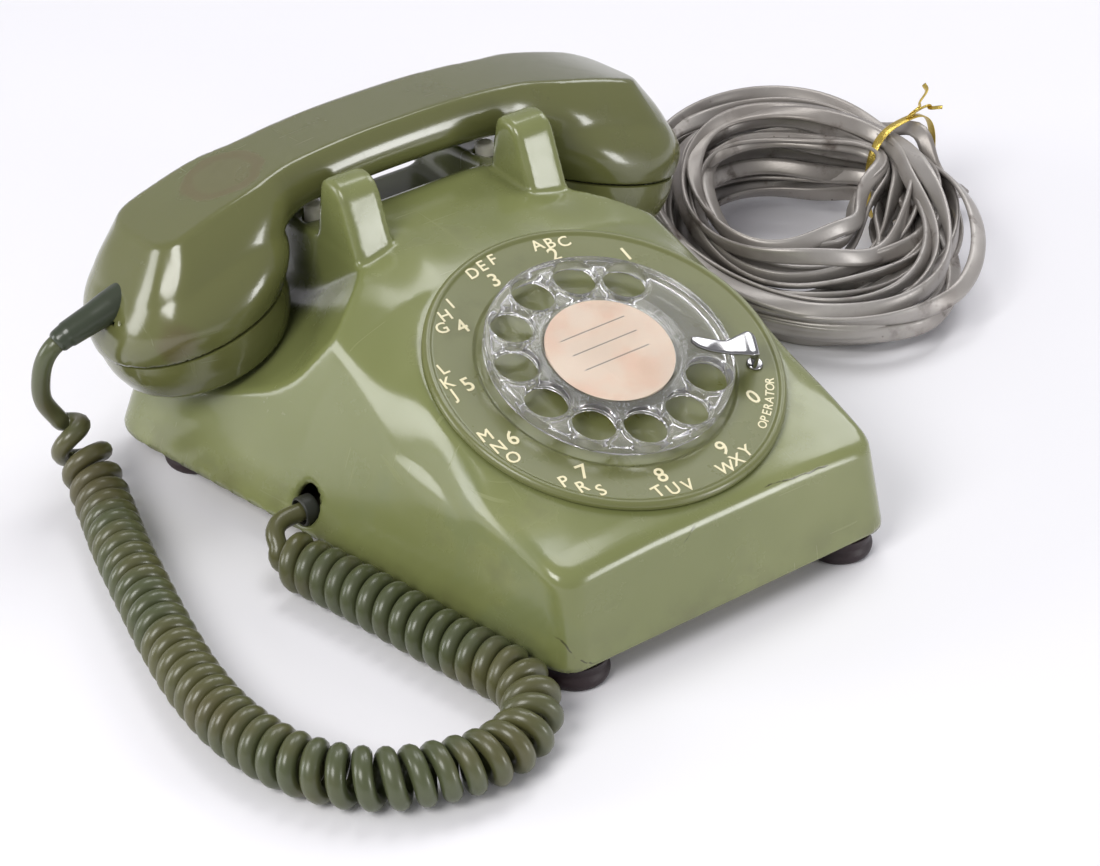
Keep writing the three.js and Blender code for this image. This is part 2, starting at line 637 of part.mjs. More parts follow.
// ---------- hook switch ----------
for (const [name, side] of [['plunger_left', -1], ['plunger_right', 1]]) {
  const profile = [[0, PLUNGER_FOOT_Z], [3.8, PLUNGER_FOOT_Z], [3.8, PLUNGER_FOOT_Z + 1.6]];
  const tip = CRADLE_Z + 0.4;
  const stem = [[PLUNGER_RADIUS, PLUNGER_FOOT_Z + 1.6], [PLUNGER_RADIUS, tip - 1], [PLUNGER_RADIUS - 1, tip]];
  const plunger = turned([...profile, ...stem, [0, tip]], 12);
  place(phone, name, plunger, FINISH.plunger).position.set(side * PLUNGER_X, PLUNGER_Y, 0);
}

const LEVER_TOP = PLUNGER_FOOT_Z - GAP;
const LEVER_SHAFT = 2;
function hookLever() {
  const shaft = rod(LEVER_SHAFT, 2 * PLUNGER_X + 5, 12).translate(0, LEVER_Y, LEVER_Z);
  const arm = (side) => {
    const x = side * PLUNGER_X;
    return box(x - 2, x + 2, LEVER_Y - 1, PLUNGER_Y + 2, LEVER_TOP - 2, LEVER_TOP);
  };
  const finger = box(-3, 3, LEVER_Y - 1.2, LEVER_Y + 1.2, LEVER_Z - 14, LEVER_Z);
  return joined([solid(shaft), solid(arm(-1)), solid(arm(1)), solid(finger)]);
}
place(phone, 'hook_lever', hookLever(), FINISH.zinc);
place(
  phone,
  'hook_bracket',
  joined([
    solid(box(-18, 18, LEVER_Y - 16, LEVER_Y - 14.4, BASE_TOP + 31, LEVER_Z + 6)),
    solid(box(-18, -16.4, LEVER_Y - 16, LEVER_Y + 4, LEVER_Z - 8, LEVER_Z + 6)),
    solid(box(16.4, 18, LEVER_Y - 16, LEVER_Y + 4, LEVER_Z - 8, LEVER_Z + 6)),
  ]).subtract(solid(rod(LEVER_SHAFT + RUNNING, 60, 16).translate(0, LEVER_Y, LEVER_Z))),
  FINISH.zinc,
);
place(
  phone,
  'hook_contacts',
  joined([
    solid(box(-8, 8, LEVER_Y - 14, LEVER_Y - 4.6, LEVER_Z - 6, LEVER_Z - 1)),
    ...[-6, -2, 2, 6].map((x) =>
      solid(box(x - 0.8, x + 0.8, LEVER_Y - 9, LEVER_Y - 8, LEVER_Z - 18, LEVER_Z - 4))),
  ]),
  FINISH.bakelite,
);

// ---------- network and ringer ----------
const NETWORK = { x0: -66, x1: -8, y0: 14, y1: 66, top: 34 };
place(
  phone,
  'network_block',
  box(NETWORK.x0, NETWORK.x1, NETWORK.y0, NETWORK.y1, BASE_TOP + GAP, NETWORK.top - 6),
  FINISH.bakelite,
);
place(
  phone,
  'terminal_strip',
  joined([
    solid(box(
      NETWORK.x0 + 3, NETWORK.x1 - 3, NETWORK.y0 + 4, NETWORK.y0 + 12, NETWORK.top - 6 + GAP, NETWORK.top - 4,
    )),
    ...[0, 1, 2, 3, 4, 5].map((i) =>
      solid(bar(2.6, NETWORK.top - 5, NETWORK.top - 2, 8, NETWORK.x0 + 9 + 8 * i, NETWORK.y0 + 8))),
  ]),
  FINISH.brass,
);

const RINGER = { x: 38, y: 20, gongY: 52, spread: 19, gongRadius: 14.5 };
const RINGER_TOP = BASE_TOP + GAP + 1.6;
place(
  phone,
  'ringer_frame',
  joined([
    solid(box(RINGER.x - 30, RINGER.x + 30, RINGER.y - 10, RINGER.gongY + 6, BASE_TOP + GAP, RINGER_TOP)),
    ...[-17.2, 17.2].map((x) => solid(box(
      RINGER.x + x - 0.8, RINGER.x + x + 0.8, RINGER.y - 9, RINGER.y + 9, RINGER_TOP - 0.5, RINGER_TOP + 20,
    ))),
  ]),
  FINISH.zinc,
);
place(
  phone,
  'ringer_coil',
  rod(7.5, 32.8 - 2 * GAP, 24).translate(RINGER.x, RINGER.y, RINGER_TOP + 9),
  FINISH.copper,
);
for (const [name, side] of [['left', -1], ['right', 1]]) {
  const x = RINGER.x + side * RINGER.spread;
  const r = RINGER.gongRadius;
  const gong = ring([
    [2.5, 26], [r - 2.5, 26], [r - 1.4, 24.6], [r - 1, 19], [r, 19], [r, 25], [r - 2.2, 27.2], [2.5, 27.2],
  ], 20);
  place(phone, `gong_${name}`, gong, FINISH.brass).position.set(x, RINGER.gongY, 0);
  const screw = turned([
    [0, RINGER_TOP + GAP], [4, RINGER_TOP + GAP], [4, 25.4], [2, 25.4],
    [2, 27.6], [4, 27.6], [4, 29.6], [0, 29.6],
  ], 10);
  place(phone, `gong_screw_${name}`, screw, FINISH.steel).position.set(x, RINGER.gongY, 0);
}
const CLAPPER_PIVOT_Y = RINGER.y + 10.5;
place(
  phone,
  'clapper',
  joined([
    solid(bar(2.2, RINGER_TOP + GAP, RINGER_TOP + 9, 12, RINGER.x, CLAPPER_PIVOT_Y)),
    solid(box(
      RINGER.x - 0.8, RINGER.x + 0.8, CLAPPER_PIVOT_Y, RINGER.gongY, RINGER_TOP + 7, RINGER_TOP + 8.6,
    )),
    solid(new THREE.SphereGeometry(2.8, 10, 6).translate(RINGER.x, RINGER.gongY, RINGER_TOP + 7.8)),
  ]),
  FINISH.steel,
);

// ---------- handset ----------
const archTop = (x) => GRIP_TOP - (GRIP_TOP - GRIP_END_TOP) * Math.pow(Math.abs(x) / GRIP_END, 2.4);

// One slice of the grip, across X.
function gripSlice(x) {
  const top = archTop(x);
  const low = top - GRIP_HEIGHT;
  const half = [
    [GRIP_HALF_TOP, top], [GRIP_HALF_MID - 0.8, top - 5], [GRIP_HALF_MID, top - 9],
    [GRIP_HALF_MID - 1.4, top - 13], [GRIP_HALF_MID - 5, low + 1.6], [GRIP_HALF_MID - 9, low],
  ];
  const other = half.map(([y, z]) => [-y, z]).reverse();
  return [...half, ...other].reverse().map(([y, z]) => v3(x, y, z));
}

const capMatrix = (side) => new THREE.Matrix4().compose(
  v3(side * CAP_SPREAD, 0, 0),
  new THREE.Quaternion().setFromAxisAngle(v3(0, 1, 0), side * CAP_TILT),
  v3(1, 1, 1),
);

// The bell over one cap: a round foot that rises to the flat top's end.
function bell(side) {
  const sides = 24;
  const rings = [0, 0.3, 0.6, 0.85, 1].map((t) => {
    const points = [];
    for (let i = 0; i < sides; i++) {
      const a = (2 * Math.PI * i) / sides;
      const r = CAP_RADIUS + BELL_SWELL * Math.sin(Math.PI * Math.min(t / 0.6, 1));
      const round = v3(r * Math.cos(a), r * Math.sin(a), GAP).applyMatrix4(capMatrix(side));
      const squareness = 1 / Math.max(Math.abs(Math.cos(a)) ** 5 + Math.abs(Math.sin(a)) ** 5, 1e-6) ** 0.2;
      const x = side * (GRIP_END - 17) + 17 * squareness * Math.cos(a);
      const top = v3(x, GRIP_HALF_TOP * squareness * Math.sin(a), archTop(x) - 0.1);
      const blend = Math.pow(t, 1.9);
      points.push(v3(
        round.x + (top.x - round.x) * blend,
        round.y + (top.y - round.y) * blend,
        round.z + (top.z - round.z) * t,
      ));
    }
    return points;
  });
  return solid(loft(rings));
}

const CAPSULE_BORE = CAP_RADIUS - 4.5;
const BOOT_START = v3(-103.4, 72.6, 64.2);
const BOOT_END = v3(-121, 73.5, 58);
const BOOT_RADIUS = 4.2;
const BOOT_HIDDEN = 8; // length inside the shell

// The boot's own frame, seen from the handset: its axis is Z and the shell's surface is at 0.
function bootMatrix() {
  const way = BOOT_END.clone().sub(BOOT_START).normalize();
  const turn = new THREE.Quaternion().setFromUnitVectors(v3(0, 0, 1), way);
  handset.updateMatrixWorld(true);
  const placed = new THREE.Matrix4().compose(BOOT_START, turn, v3(1, 1, 1));
  return handset.matrixWorld.clone().invert().multiply(placed);
}

function handsetShell() {
  const slices = [];
  for (let i = 0; i <= 14; i++) slices.push(gripSlice(-80 + (160 * i) / 14));
  const grip = solid(loft(slices));
  const bodies = [grip, bell(-1), bell(1)];
  const tools = [];
  for (const side of [-1, 1]) {
    tools.push(solid(bar(CAPSULE_BORE, -20, 13, 32), capMatrix(side)));
  }
  tools.push(solid(box(-70, 70, -7, 7, GRIP_END_TOP - 21, GRIP_END_TOP - 12)).intersect(
    solid(bar(200, 5, 40, 12))));
  tools.push(solid(bar(BOOT_RADIUS + GAP, -30, 30, 20), bootMatrix()));
  return cutFrom(joined(bodies), tools);
}
place(handset, 'handset_shell', handsetShell(), FINISH.handset);

// A screw-on cap: a cup that faces up into the shell, with a pierced front.
function cap(side) {
  const r = CAP_RADIUS;
  const cup = ring([
    [0.01, -CAP_DEPTH + 1], [r - 10, -CAP_DEPTH], [r - 4, -CAP_DEPTH + 1.6], [r - 1, -CAP_DEPTH + 7],
    [r, -4], [r, -GAP],
    [r - CAP_WALL, -GAP], [r - CAP_WALL, -5], [r - 6, -CAP_DEPTH + 4.6], [0.01, -CAP_DEPTH + 3.4],
  ], 28);
  const spots = [[0, 0]];
  for (let i = 0; i < 6; i++) {
    const a = (Math.PI * i) / 3;
    spots.push([7 * Math.cos(a), 7 * Math.sin(a)]);
  }
  const plugged = solid(cup).add(solid(bar(1, -CAP_DEPTH + 1, -CAP_DEPTH + 3.4, 8)));
  const pierced = cutFrom(plugged, spots.map(([x, y]) => solid(bar(1.4, -30, 0, 6, x, y))));
  return pierced.transform(capMatrix(side).elements);
}
function capsule(side) {
  const low = -CAP_DEPTH + 4;
  const profile = [[0, low], [16, low + 0.2], [22, low + 1.6], [22, 1], [17, 4], [0, 4]];
  return turned(profile, 20).applyMatrix4(capMatrix(side));
}
for (const [name, side] of [['transmitter', -1], ['receiver', 1]]) {
  place(handset, `${name}_cap`, cap(side), FINISH.handset);
  place(handset, `${name}_capsule`, capsule(side), FINISH.bakelite);
}
place(
  handset,
  'transmitter_cup',
  turned([[0, 4.4], [20, 4.4], [25, 6], [25, 9], [22, 11], [0, 11]], 20).applyMatrix4(capMatrix(-1)),
  FINISH.bakelite,
);

// ---------- cords ----------
function boot() {
  const long = BOOT_END.distanceTo(BOOT_START);
  const side = [[BOOT_RADIUS, -BOOT_HIDDEN], [BOOT_RADIUS, long - 1], [BOOT_RADIUS - 0.4, long]];
  const profile = [[0, -BOOT_HIDDEN], ...side, [0, long]];
  return turned(profile, 20).applyMatrix4(bootMatrix());
}
place(handset, 'handset_boot', boot(), FINISH.greenCord);

// Where the handset cord runs: the straight ends and the middle line of the curly part.
const TAIL_ROUTE = [
  [-121.7, 73.5, 57.8], [-123.7, 73.8, 56.6], [-126.4, 75, 52], [-127.6, 76.8, 44],
  [-126.8, 78.6, 36], [-123.6, 79.4, 29.5], [-120.6, 77.6, 24.4],
];
const COIL_ROUTE = [
  [-119.4, 73, 19.6], [-120.6, 62, 12.6], [-123.6, 50, 9.5],
  [-129.7, 31, 9.5], [-136, 7.2, 9.5], [-142.3, -18.3, 9.5],
  [-147, -43.8, 9.5], [-147.7, -66, 9.5], [-142.3, -88.6, 9.5], [-130.3, -105.1, 9.5], [-113.5, -114.3, 9.5],
  [-95.5, -117.3, 9.5], [-81, -112, 9.5], [-73.5, -98.6, 9.5], [-75.8, -80.9, 9.5], [-79.4, -63.9, 9.5],
  [-83, -45.6, 9.5], [-87.2, -26, 9.5], [-91.6, -9, 9.5], [-93.2, -3.4, 9.5],
];
const LEAD_ROUTE = [
  [-84.6, 4.8, 15.6], [-88.4, 4.7, 15.4], [-91.9, 3, 14.4], [-93.2, 0.2, 12.6], [-93.2, -1.6, 12],
];
const LINE_ROUTE = [
  [60, 99.4, 15], [61, 105, 11], [64, 111, 5.6], [72, 117, 3.2],
  [85, 118, 3.2], [97, 114, 3.2], [105, 107.5, 3.2], [110, 101, 3.2],
];
const route = (points) => points.map((p) => v3(...p));

place(phone, 'handset_cord_tail', tube(route(TAIL_ROUTE), CORD_RADIUS, CORD_RADIUS, 10, 8), FINISH.greenCord);
const coilShape = tube(route(COIL_ROUTE), COIL_RADIUS, COIL_RADIUS, 12, 36);
place(phone, 'handset_cord_coil', coilShape, FINISH.greenCord);
place(phone, 'handset_cord_lead', tube(route(LEAD_ROUTE), CORD_RADIUS, CORD_RADIUS, 10, 5), FINISH.greenCord);

const grommet = (bore, outer) => ring([[bore, 0], [outer, 0], [outer, BUSH_LONG], [bore, BUSH_LONG]], 20);
place(phone, 'cord_grommet', grommet(CORD_BORE, CORD_BUSH), FINISH.black).applyMatrix4(
  new THREE.Matrix4().compose(
    v3(CORD_HOLE.x + 4, CORD_HOLE.y, CORD_HOLE.z),
    new THREE.Quaternion().setFromAxisAngle(v3(0, 1, 0), -Math.PI / 2),
    v3(1, 1, 1),
  ),
);
place(phone, 'line_grommet', grommet(LINE_BORE, LINE_BUSH), FINISH.black).applyMatrix4(
  new THREE.Matrix4().compose(
    v3(LINE_HOLE.x, LINE_HOLE.y - 3.4, LINE_HOLE.z),
    new THREE.Quaternion().setFromAxisAngle(v3(1, 0, 0), -Math.PI / 2),
    v3(1, 1, 1),
  ),
);

const lineShape = tube(route(LINE_ROUTE), LINE_WIDTH / 2, LINE_THICK / 2, 8, 20);
place(phone, 'line_cord_tail', lineShape, FINISH.silverCord);
place(
  phone,
  'line_cord_bundle',
  ring([
    [BUNDLE.inner, 4], [BUNDLE.inner + 4, 0.4], [BUNDLE.outer - 5, 0.4], [BUNDLE.outer, 6],
    [BUNDLE.outer, BUNDLE.height - 12], [BUNDLE.outer - 10, BUNDLE.height],
    [BUNDLE.inner + 8, BUNDLE.height], [BUNDLE.inner, BUNDLE.height - 8],
  ], 40).scale(1, BUNDLE.stretch, 1),
  FINISH.silverCord,
).position.set(BUNDLE.x, BUNDLE.y, 0);

function tie() {
  const [inner, outer, top] = [BUNDLE.inner - 1, BUNDLE.outer + 2.4, BUNDLE.height + 0.6];
  const outline = [
    [inner - 1.4, 0.4], [inner, 0.4], [inner, top - 6.6], [inner + 7, top], [outer - 7, top],
    [outer, top - 10.6], [outer, 0.4], [outer + 1.4, 0.4], [outer + 1.4, top - 9.6],
    [outer - 6, top + 1.4], [inner + 6, top + 1.4], [inner - 1.4, top - 5.6],
  ];
  return slabYZ(outline.slice().reverse(), -1.2, 1.2);
}
const tieMesh = place(phone, 'cord_tie', tie(), FINISH.tie);
tieMesh.position.set(BUNDLE.x, BUNDLE.y, 0);
tieMesh.rotation.z = TIE_ANGLE - Math.PI / 2;

place(
  phone,
  'line_plug',
  joined([
    solid(box(-PLUG.long / 2, PLUG.long / 2, -PLUG.wide / 2, PLUG.wide / 2, 0, PLUG.tall)),
    solid(box(-PLUG.long / 2 + 2, PLUG.long / 2 + 4, -1.6, 1.6, PLUG.tall - 0.5, PLUG.tall + 0.9)),
  ]),
  FINISH.clear,
).position.set(PLUG.x, PLUG.y, 0.2);

export default phone;
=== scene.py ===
"""The looks of a rotary desk telephone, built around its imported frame. Shape work is done in millimetres."""

import math

import bpy
import numpy as np
from mathutils import Matrix, Vector


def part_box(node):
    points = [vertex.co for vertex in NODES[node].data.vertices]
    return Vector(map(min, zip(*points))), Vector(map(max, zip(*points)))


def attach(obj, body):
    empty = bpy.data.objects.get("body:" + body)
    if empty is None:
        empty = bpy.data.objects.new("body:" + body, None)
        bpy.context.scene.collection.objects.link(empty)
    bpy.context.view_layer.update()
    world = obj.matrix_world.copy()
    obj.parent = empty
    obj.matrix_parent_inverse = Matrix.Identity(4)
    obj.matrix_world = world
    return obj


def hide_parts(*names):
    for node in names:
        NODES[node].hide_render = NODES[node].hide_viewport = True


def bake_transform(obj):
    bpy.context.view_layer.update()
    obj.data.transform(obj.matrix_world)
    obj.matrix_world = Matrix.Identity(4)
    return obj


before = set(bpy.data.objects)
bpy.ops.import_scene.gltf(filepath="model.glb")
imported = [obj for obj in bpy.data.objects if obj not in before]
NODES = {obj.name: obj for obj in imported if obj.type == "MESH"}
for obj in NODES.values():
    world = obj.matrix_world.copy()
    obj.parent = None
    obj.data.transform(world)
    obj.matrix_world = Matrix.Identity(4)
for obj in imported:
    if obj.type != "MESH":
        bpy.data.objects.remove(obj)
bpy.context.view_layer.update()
MM = 0.001

# ---------- sizes shared by the pieces, in millimetres ----------
FRONT_Y, REAR_Y = -103.0, 97.0
FRONT_HALF, SPREAD = 61.5, 0.1975
CASE_Z, CASE_WALL = 8.6, 2.8
CRADLE_Z, BROW_Y = 78.5, 30.0
EAR_OUT, EAR_IN, EAR_TOP = 40.0, 26.0, 97.4
DIAL_Y, DIAL_Z, DIAL_TILT = -40.6, 58.8, math.radians(18.4)
HANDSET_Y, HANDSET_Z, HANDSET_TILT = 71.7, 55.2, math.radians(-6)
CAP_SPREAD, CAP_RADIUS, CAP_TILT, CAP_DEPTH = 76.8, 30.8, math.radians(15.5), 14.5
WHEEL_RADIUS, WHEEL_TOP, HOLE_RING, HOLE_RADIUS = 38.0, 8.7, 29.9, 6.7
BASE_Y, DIAL_RISE = -94.0, 0.33266  # where the casing's sides begin to change, and the dial face's slope
WELL_POINT = (EAR_OUT, 40.5, 57.2)  # a point on the floor of the right well
HOLD_Y, PIN_X, PIN_Y = 57.0, 33.0, 66.0
CORD_HOLE_Y, CORD_HOLE_Z, LINE_HOLE_X, LINE_HOLE_Z = 4.8, 16.4, 60.0, 15.0
GRIP_TOP, GRIP_END, GRIP_HALF, GRIP_WIDE, CREST_DEPTH = 44.0, 91.6, 14.3, 17.6, 9.0
PLATE_RADIUS, PLATE_TOP, RIM_TOP = 55.5, 2.2, 2.95

DIAL_PLACE = Matrix.Translation((0, DIAL_Y, DIAL_Z)) @ Matrix.Rotation(DIAL_TILT, 4, "X")
HANDSET_PLACE = Matrix.Translation((0, HANDSET_Y, HANDSET_Z)) @ Matrix.Rotation(HANDSET_TILT, 4, "X")


def cap_place(side):
    """Where a cap sits: its middle is on the bell's mouth, with Z along the bell."""
    out = Matrix.Translation((side * CAP_SPREAD, 0, 0))
    return HANDSET_PLACE @ out @ Matrix.Rotation(side * CAP_TILT, 4, "Y")


# ---------- mesh helpers ----------
def moved(points, matrix):
    """Points after a matrix, or as they are when there is none."""
    points = np.asarray(points, float)
    if matrix is None:
        return points
    m = np.array(matrix)
    return points @ m[:3, :3].T + m[:3, 3]


def new_object(name, data):
    obj = bpy.data.objects.new(name, data)
    bpy.context.scene.collection.objects.link(obj)
    return obj


def evaluated_mesh(obj):
    """A mesh of its own from an object as its modifiers leave it."""
    bpy.context.view_layer.update()
    graph = bpy.context.evaluated_depsgraph_get()
    return bpy.data.meshes.new_from_object(obj.evaluated_get(graph), depsgraph=graph)


def piece(name, points, faces, finish, place=None, smooth=True, crease_deg=None):
    """An object from points in millimetres, which a matrix puts in place."""
    mesh = bpy.data.meshes.new(name)
    mesh.from_pydata((moved(points, place) * MM).tolist(), [], [tuple(f) for f in faces])
    mesh.polygons.foreach_set("use_smooth", [smooth] * len(mesh.polygons))
    mesh.update()
    obj = new_object(name, mesh)
    mesh.materials.append(finish)
    if crease_deg is not None:
        mesh.set_sharp_from_angle(angle=math.radians(crease_deg))
    return obj


def join_parts(parts):
    """Several (points, faces) as one."""
    points, faces, count = [], [], 0
    for p, f in parts:
        points.append(np.asarray(p, float))
        faces += [tuple(i + count for i in face) for face in f]
        count += len(p)
    return np.concatenate(points), faces


def band(low, high):
    """The faces between two closed rows of point numbers. One of the rows can be a single point."""
    count = max(len(low), len(high))
    faces = []
    for i in range(count):
        j = (i + 1) % count
        if len(low) == 1:
            faces.append((low[0], high[j], high[i]))
        elif len(high) == 1:
            faces.append((low[i], low[j], high[0]))
        else:
            faces.append((low[i], low[j], high[j], high[i]))
    return faces


def turned(profile, sides=96, matrix=None):
    """A solid of revolution about Z from (radius, height) pairs that run from low to high on the outside."""
    points, faces, rows = [], [], []
    angles = np.linspace(0, 2 * math.pi, sides, endpoint=False)
    for r, z in profile:
        new = [(0, 0, z)] if r < 1e-6 else [(r * math.cos(a), r * math.sin(a), z) for a in angles]
        rows.append(range(len(points), len(points) + len(new)))
        points += new
    for low, high in zip(rows, rows[1:]):
        if len(low) + len(high) > 2:
            faces += band(low, high)
    return moved(points, matrix), faces


def ring_turned(profile, sides=96):
    """A closed ring about Z from an outline given anticlockwise."""
    points, faces = turned(list(profile) + [profile[0]], sides)
    n = len(profile) * sides
    return points[:n], [tuple(i % n for i in f) for f in faces]


def rounded(corners, radius, steps=4):
    """An open outline with its inner corners rounded off."""
    corners = [np.array(c, float) for c in corners]
    out = [corners[0]]
    for a, b, c in zip(corners, corners[1:], corners[2:]):
        r = min(radius, 0.45 * np.linalg.norm(a - b), 0.45 * np.linalg.norm(c - b))
        start, end = b + (a - b) / np.linalg.norm(a - b) * r, b + (c - b) / np.linalg.norm(c - b) * r
        for i in range(steps + 1):
            t = i / steps
            out.append((1 - t) ** 2 * start + 2 * t * (1 - t) * b + t * t * end)
    out.append(corners[-1])
    return [tuple(p) for p in out]


def smooth_path(points, step):
    """Evenly spaced points on a centripetal Catmull-Rom curve."""
    p = np.array(points, float)
    p = np.vstack([2 * p[0] - p[1], p, 2 * p[-1] - p[-2]])
    out = []
    for i in range(1, len(p) - 2):
        a, b, c, d = p[i - 1], p[i], p[i + 1], p[i + 2]
        t0 = 0.0
        t1 = t0 + max(np.linalg.norm(b - a), 1e-6) ** 0.5
        t2 = t1 + max(np.linalg.norm(c - b), 1e-6) ** 0.5
        t3 = t2 + max(np.linalg.norm(d - c), 1e-6) ** 0.5
        t = np.linspace(t1, t2, 24, endpoint=False)[:, None]
        share = lambda u, v, start, end: (end - t) / (end - start) * u + (t - start) / (end - start) * v
        a1, a2, a3 = share(a, b, t0, t1), share(b, c, t1, t2), share(c, d, t2, t3)
        out.append(share(share(a1, a2, t0, t2), share(a2, a3, t1, t3), t1, t2))
    return evenly(np.vstack(out + [p[-2:-1]]), step)


def evenly(points, step):
    run = np.concatenate([[0], np.cumsum(np.linalg.norm(np.diff(points, axis=0), axis=1))])
    at = np.linspace(0, run[-1], max(2, int(round(run[-1] / step)) + 1))
    return np.stack([np.interp(at, run, points[:, i]) for i in range(3)], 1)


def softened(points, passes):
    points = points.copy()
    for _ in range(passes):
        points[1:-1] = 0.5 * points[1:-1] + 0.25 * (points[:-2] + points[2:])
    return points


def unit(v):
    return v / np.maximum(np.linalg.norm(v, axis=-1, keepdims=True), 1e-12)


def swept(path, section, across=None, scale=None):
    """A closed skin that carries a flat section along a path. The section's first axis points along across."""
    path = np.asarray(path, float)
    along = unit(np.gradient(path, axis=0))
    if across is None:
        across = np.zeros_like(path)
        v = np.cross(along[0], (0.3, 0.5, 0.8))
        for i, t in enumerate(along):
            v = v - t * (v @ t)
            v = v / np.linalg.norm(v)
            across[i] = v
    else:
        across = unit(across - along * np.sum(across * along, 1, keepdims=True))
    other = np.cross(along, across)
    section = np.asarray(section, float)
    scale = np.ones(len(path)) if scale is None else np.asarray(scale, float)
    points = path[:, None] + scale[:, None, None] * (
        across[:, None] * section[None, :, :1] + other[:, None] * section[None, :, 1:]
    )
    n, k = len(path), len(section)
    rows = [range(r * k, (r + 1) * k) for r in range(n)]
    faces = [face for low, high in zip(rows, rows[1:]) for face in band(low, high)]
    for i in range(k):
        j = (i + 1) % k
        faces.append((n * k, j, i))
        faces.append((n * k + 1, rows[-1][i], rows[-1][j]))
    return np.vstack([points.reshape(-1, 3), path[:1], path[-1:]]), faces


def circle(radius, sides):
    a = np.linspace(0, 2 * math.pi, sides, endpoint=False)
    return np.stack([radius * np.cos(a), radius * np.sin(a)], 1)


def flat_section(width, thick, sides=10):
    """The rounded outline of a flat cord."""
    c, s = circle(1.0, sides).T
    return np.stack([width / 2 * np.sign(c) * np.abs(c) ** 0.55, thick / 2 * np.sign(s) * np.abs(s) ** 0.7], 1)


# ---------- moulded shapes, as fields that are negative inside ----------
def smax(a, b, k):
    h = np.clip(0.5 + 0.5 * (a - b) / k, 0, 1)
    return b + (a - b) * h + k * h * (1 - h)


def smin(a, b, k):
    return -smax(-a, -b, k)


def step01(t):
    t = np.clip(t, 0, 1)
    return t * t * (3 - 2 * t)


def plane(p, normal, point):
    n = np.array(normal, float)
    n /= np.linalg.norm(n)
    return p @ n - float(np.dot(n, point))


def moulded(field, low, high, step):
    """The skin of a field as quads, with every point drawn onto the field's own surface."""
    axes = [np.arange(a, b + step, step) for a, b in zip(low, high)]
    grid = np.stack(np.meshgrid(*axes, indexing="ij"), -1)
    value = field(grid.reshape(-1, 3)).reshape(grid.shape[:3])
    inside = value < 0
    cells = tuple(n - 1 for n in value.shape)
    total, count = np.zeros(cells + (3,)), np.zeros(cells)
    crossings = []
    for axis in range(3):
        e = np.zeros(3, int)
        e[axis] = 1
        first = inside[tuple(slice(0, -1) if a == axis else slice(1, -1) for a in range(3))]
        second = inside[tuple(slice(1, None) if a == axis else slice(1, -1) for a in range(3))]
        spot = np.argwhere(first != second) + (1 - e)
        v0, v1 = value[tuple(spot.T)], value[tuple((spot + e).T)]
        at = grid[tuple(spot.T)] + (v0 / (v0 - v1) * step)[:, None] * e
        e1, e2 = np.roll(e, 1), np.roll(e, 2)
        ring = [spot - e1 - e2, spot - e2, spot, spot - e1]
        for cell in ring:
            np.add.at(total, tuple(cell.T), at)
            np.add.at(count, tuple(cell.T), 1)
        crossings.append((ring, inside[tuple(spot.T)]))
    number = np.cumsum(count.ravel() > 0).reshape(cells) - 1
    used = count > 0
    points = total[used] / count[used][:, None]
    faces = []
    for ring, outward in crossings:
        quad = np.stack([number[tuple(cell.T)] for cell in ring], 1)
        quad[~outward] = quad[~outward][:, ::-1]
        faces.append(quad)
    faces = np.vstack(faces)
    for _ in range(3):
        f = field(points)
        slope = np.stack([(field(points + d) - f) / 0.02 for d in np.eye(3) * 0.02], 1)
        move = slope * (f / np.maximum(np.sum(slope * slope, 1), 0.05))[:, None]
        length = np.linalg.norm(move, axis=1, keepdims=True)
        points = points - move * np.minimum(1, 0.5 * step / np.maximum(length, 1e-9))
    return points, faces.tolist()


def half_at(y):
    return FRONT_HALF + SPREAD * (y - FRONT_Y)


def into_dial(p):
    y, z = p[:, 1] - DIAL_Y, p[:, 2] - DIAL_Z
    c, s = math.cos(DIAL_TILT), math.sin(DIAL_TILT)
    return np.stack([p[:, 0], y * c + z * s, -y * s + z * c], 1)


def case_bulk(p):
    """The casing's outside without its lower edge and its ears."""
    x, y, z = np.abs(p[:, 0]), p[:, 1], p[:, 2]
    rise = z - CASE_Z
    lean = 0.129 + 0.0026 * np.clip(y - BASE_Y, 0, 106)
    side = (x - half_at(y) + lean * rise) / np.sqrt(1.04 + lean**2)
    front = (FRONT_Y + 0.1765 * rise - y) * 0.985
    rear = y - REAR_Y + 0.03 * rise + 0.0009 * np.clip(rise - 28, 0, 99) ** 2
    plan = smax(smax(side, front, 8.0), rear, 23.0)
    ridge = 59.4 + 0.0123 * (y - BASE_Y)
    fall = np.clip(2 + 0.0717 * (y - BASE_Y), 1.2, 12)
    flat = np.sqrt(np.maximum(55.9**2 - ((y - DIAL_Y) / 0.949) ** 2, 24**2))
    reach = np.maximum(ridge - flat, 3.0)
    share = np.clip((x - flat) / reach, 0, 1.7)
    face = DIAL_Z + (y - DIAL_Y) * DIAL_RISE - fall * share**1.45
    saddle = CRADLE_Z - 3.5 * step01((x - 18) / 22) - 2.6 * step01((y - 50) / 40)
    slope = np.where(face < saddle, 1.45 * fall / reach * share**0.45, 0.2)
    top = (z - smin(face, saddle, 3.5)) / np.sqrt(1.11 + slope**2)
    bulk = smax(plan, top, 3.4)
    xs = np.stack([x, y, z], 1)
    floor = plane(xs, (0.47, 0.2, 1), WELL_POINT) + 0.9 * step01((47.5 - x) / 6)
    cut = smax(EAR_OUT - x, -plane(xs, (0.64, 0.464, 0.617), (EAR_OUT, BROW_Y, 75)), 2.0)
    cut = smax(cut, -floor, 5.0)
    bulk = smax(bulk, -cut, 1.0)
    hold = smax(smax(x - EAR_IN, HOLD_Y - y, 5.0), -plane(xs, (0, -0.09, 1), WELL_POINT), 6.0)
    return smax(bulk, -hold, 2.4)


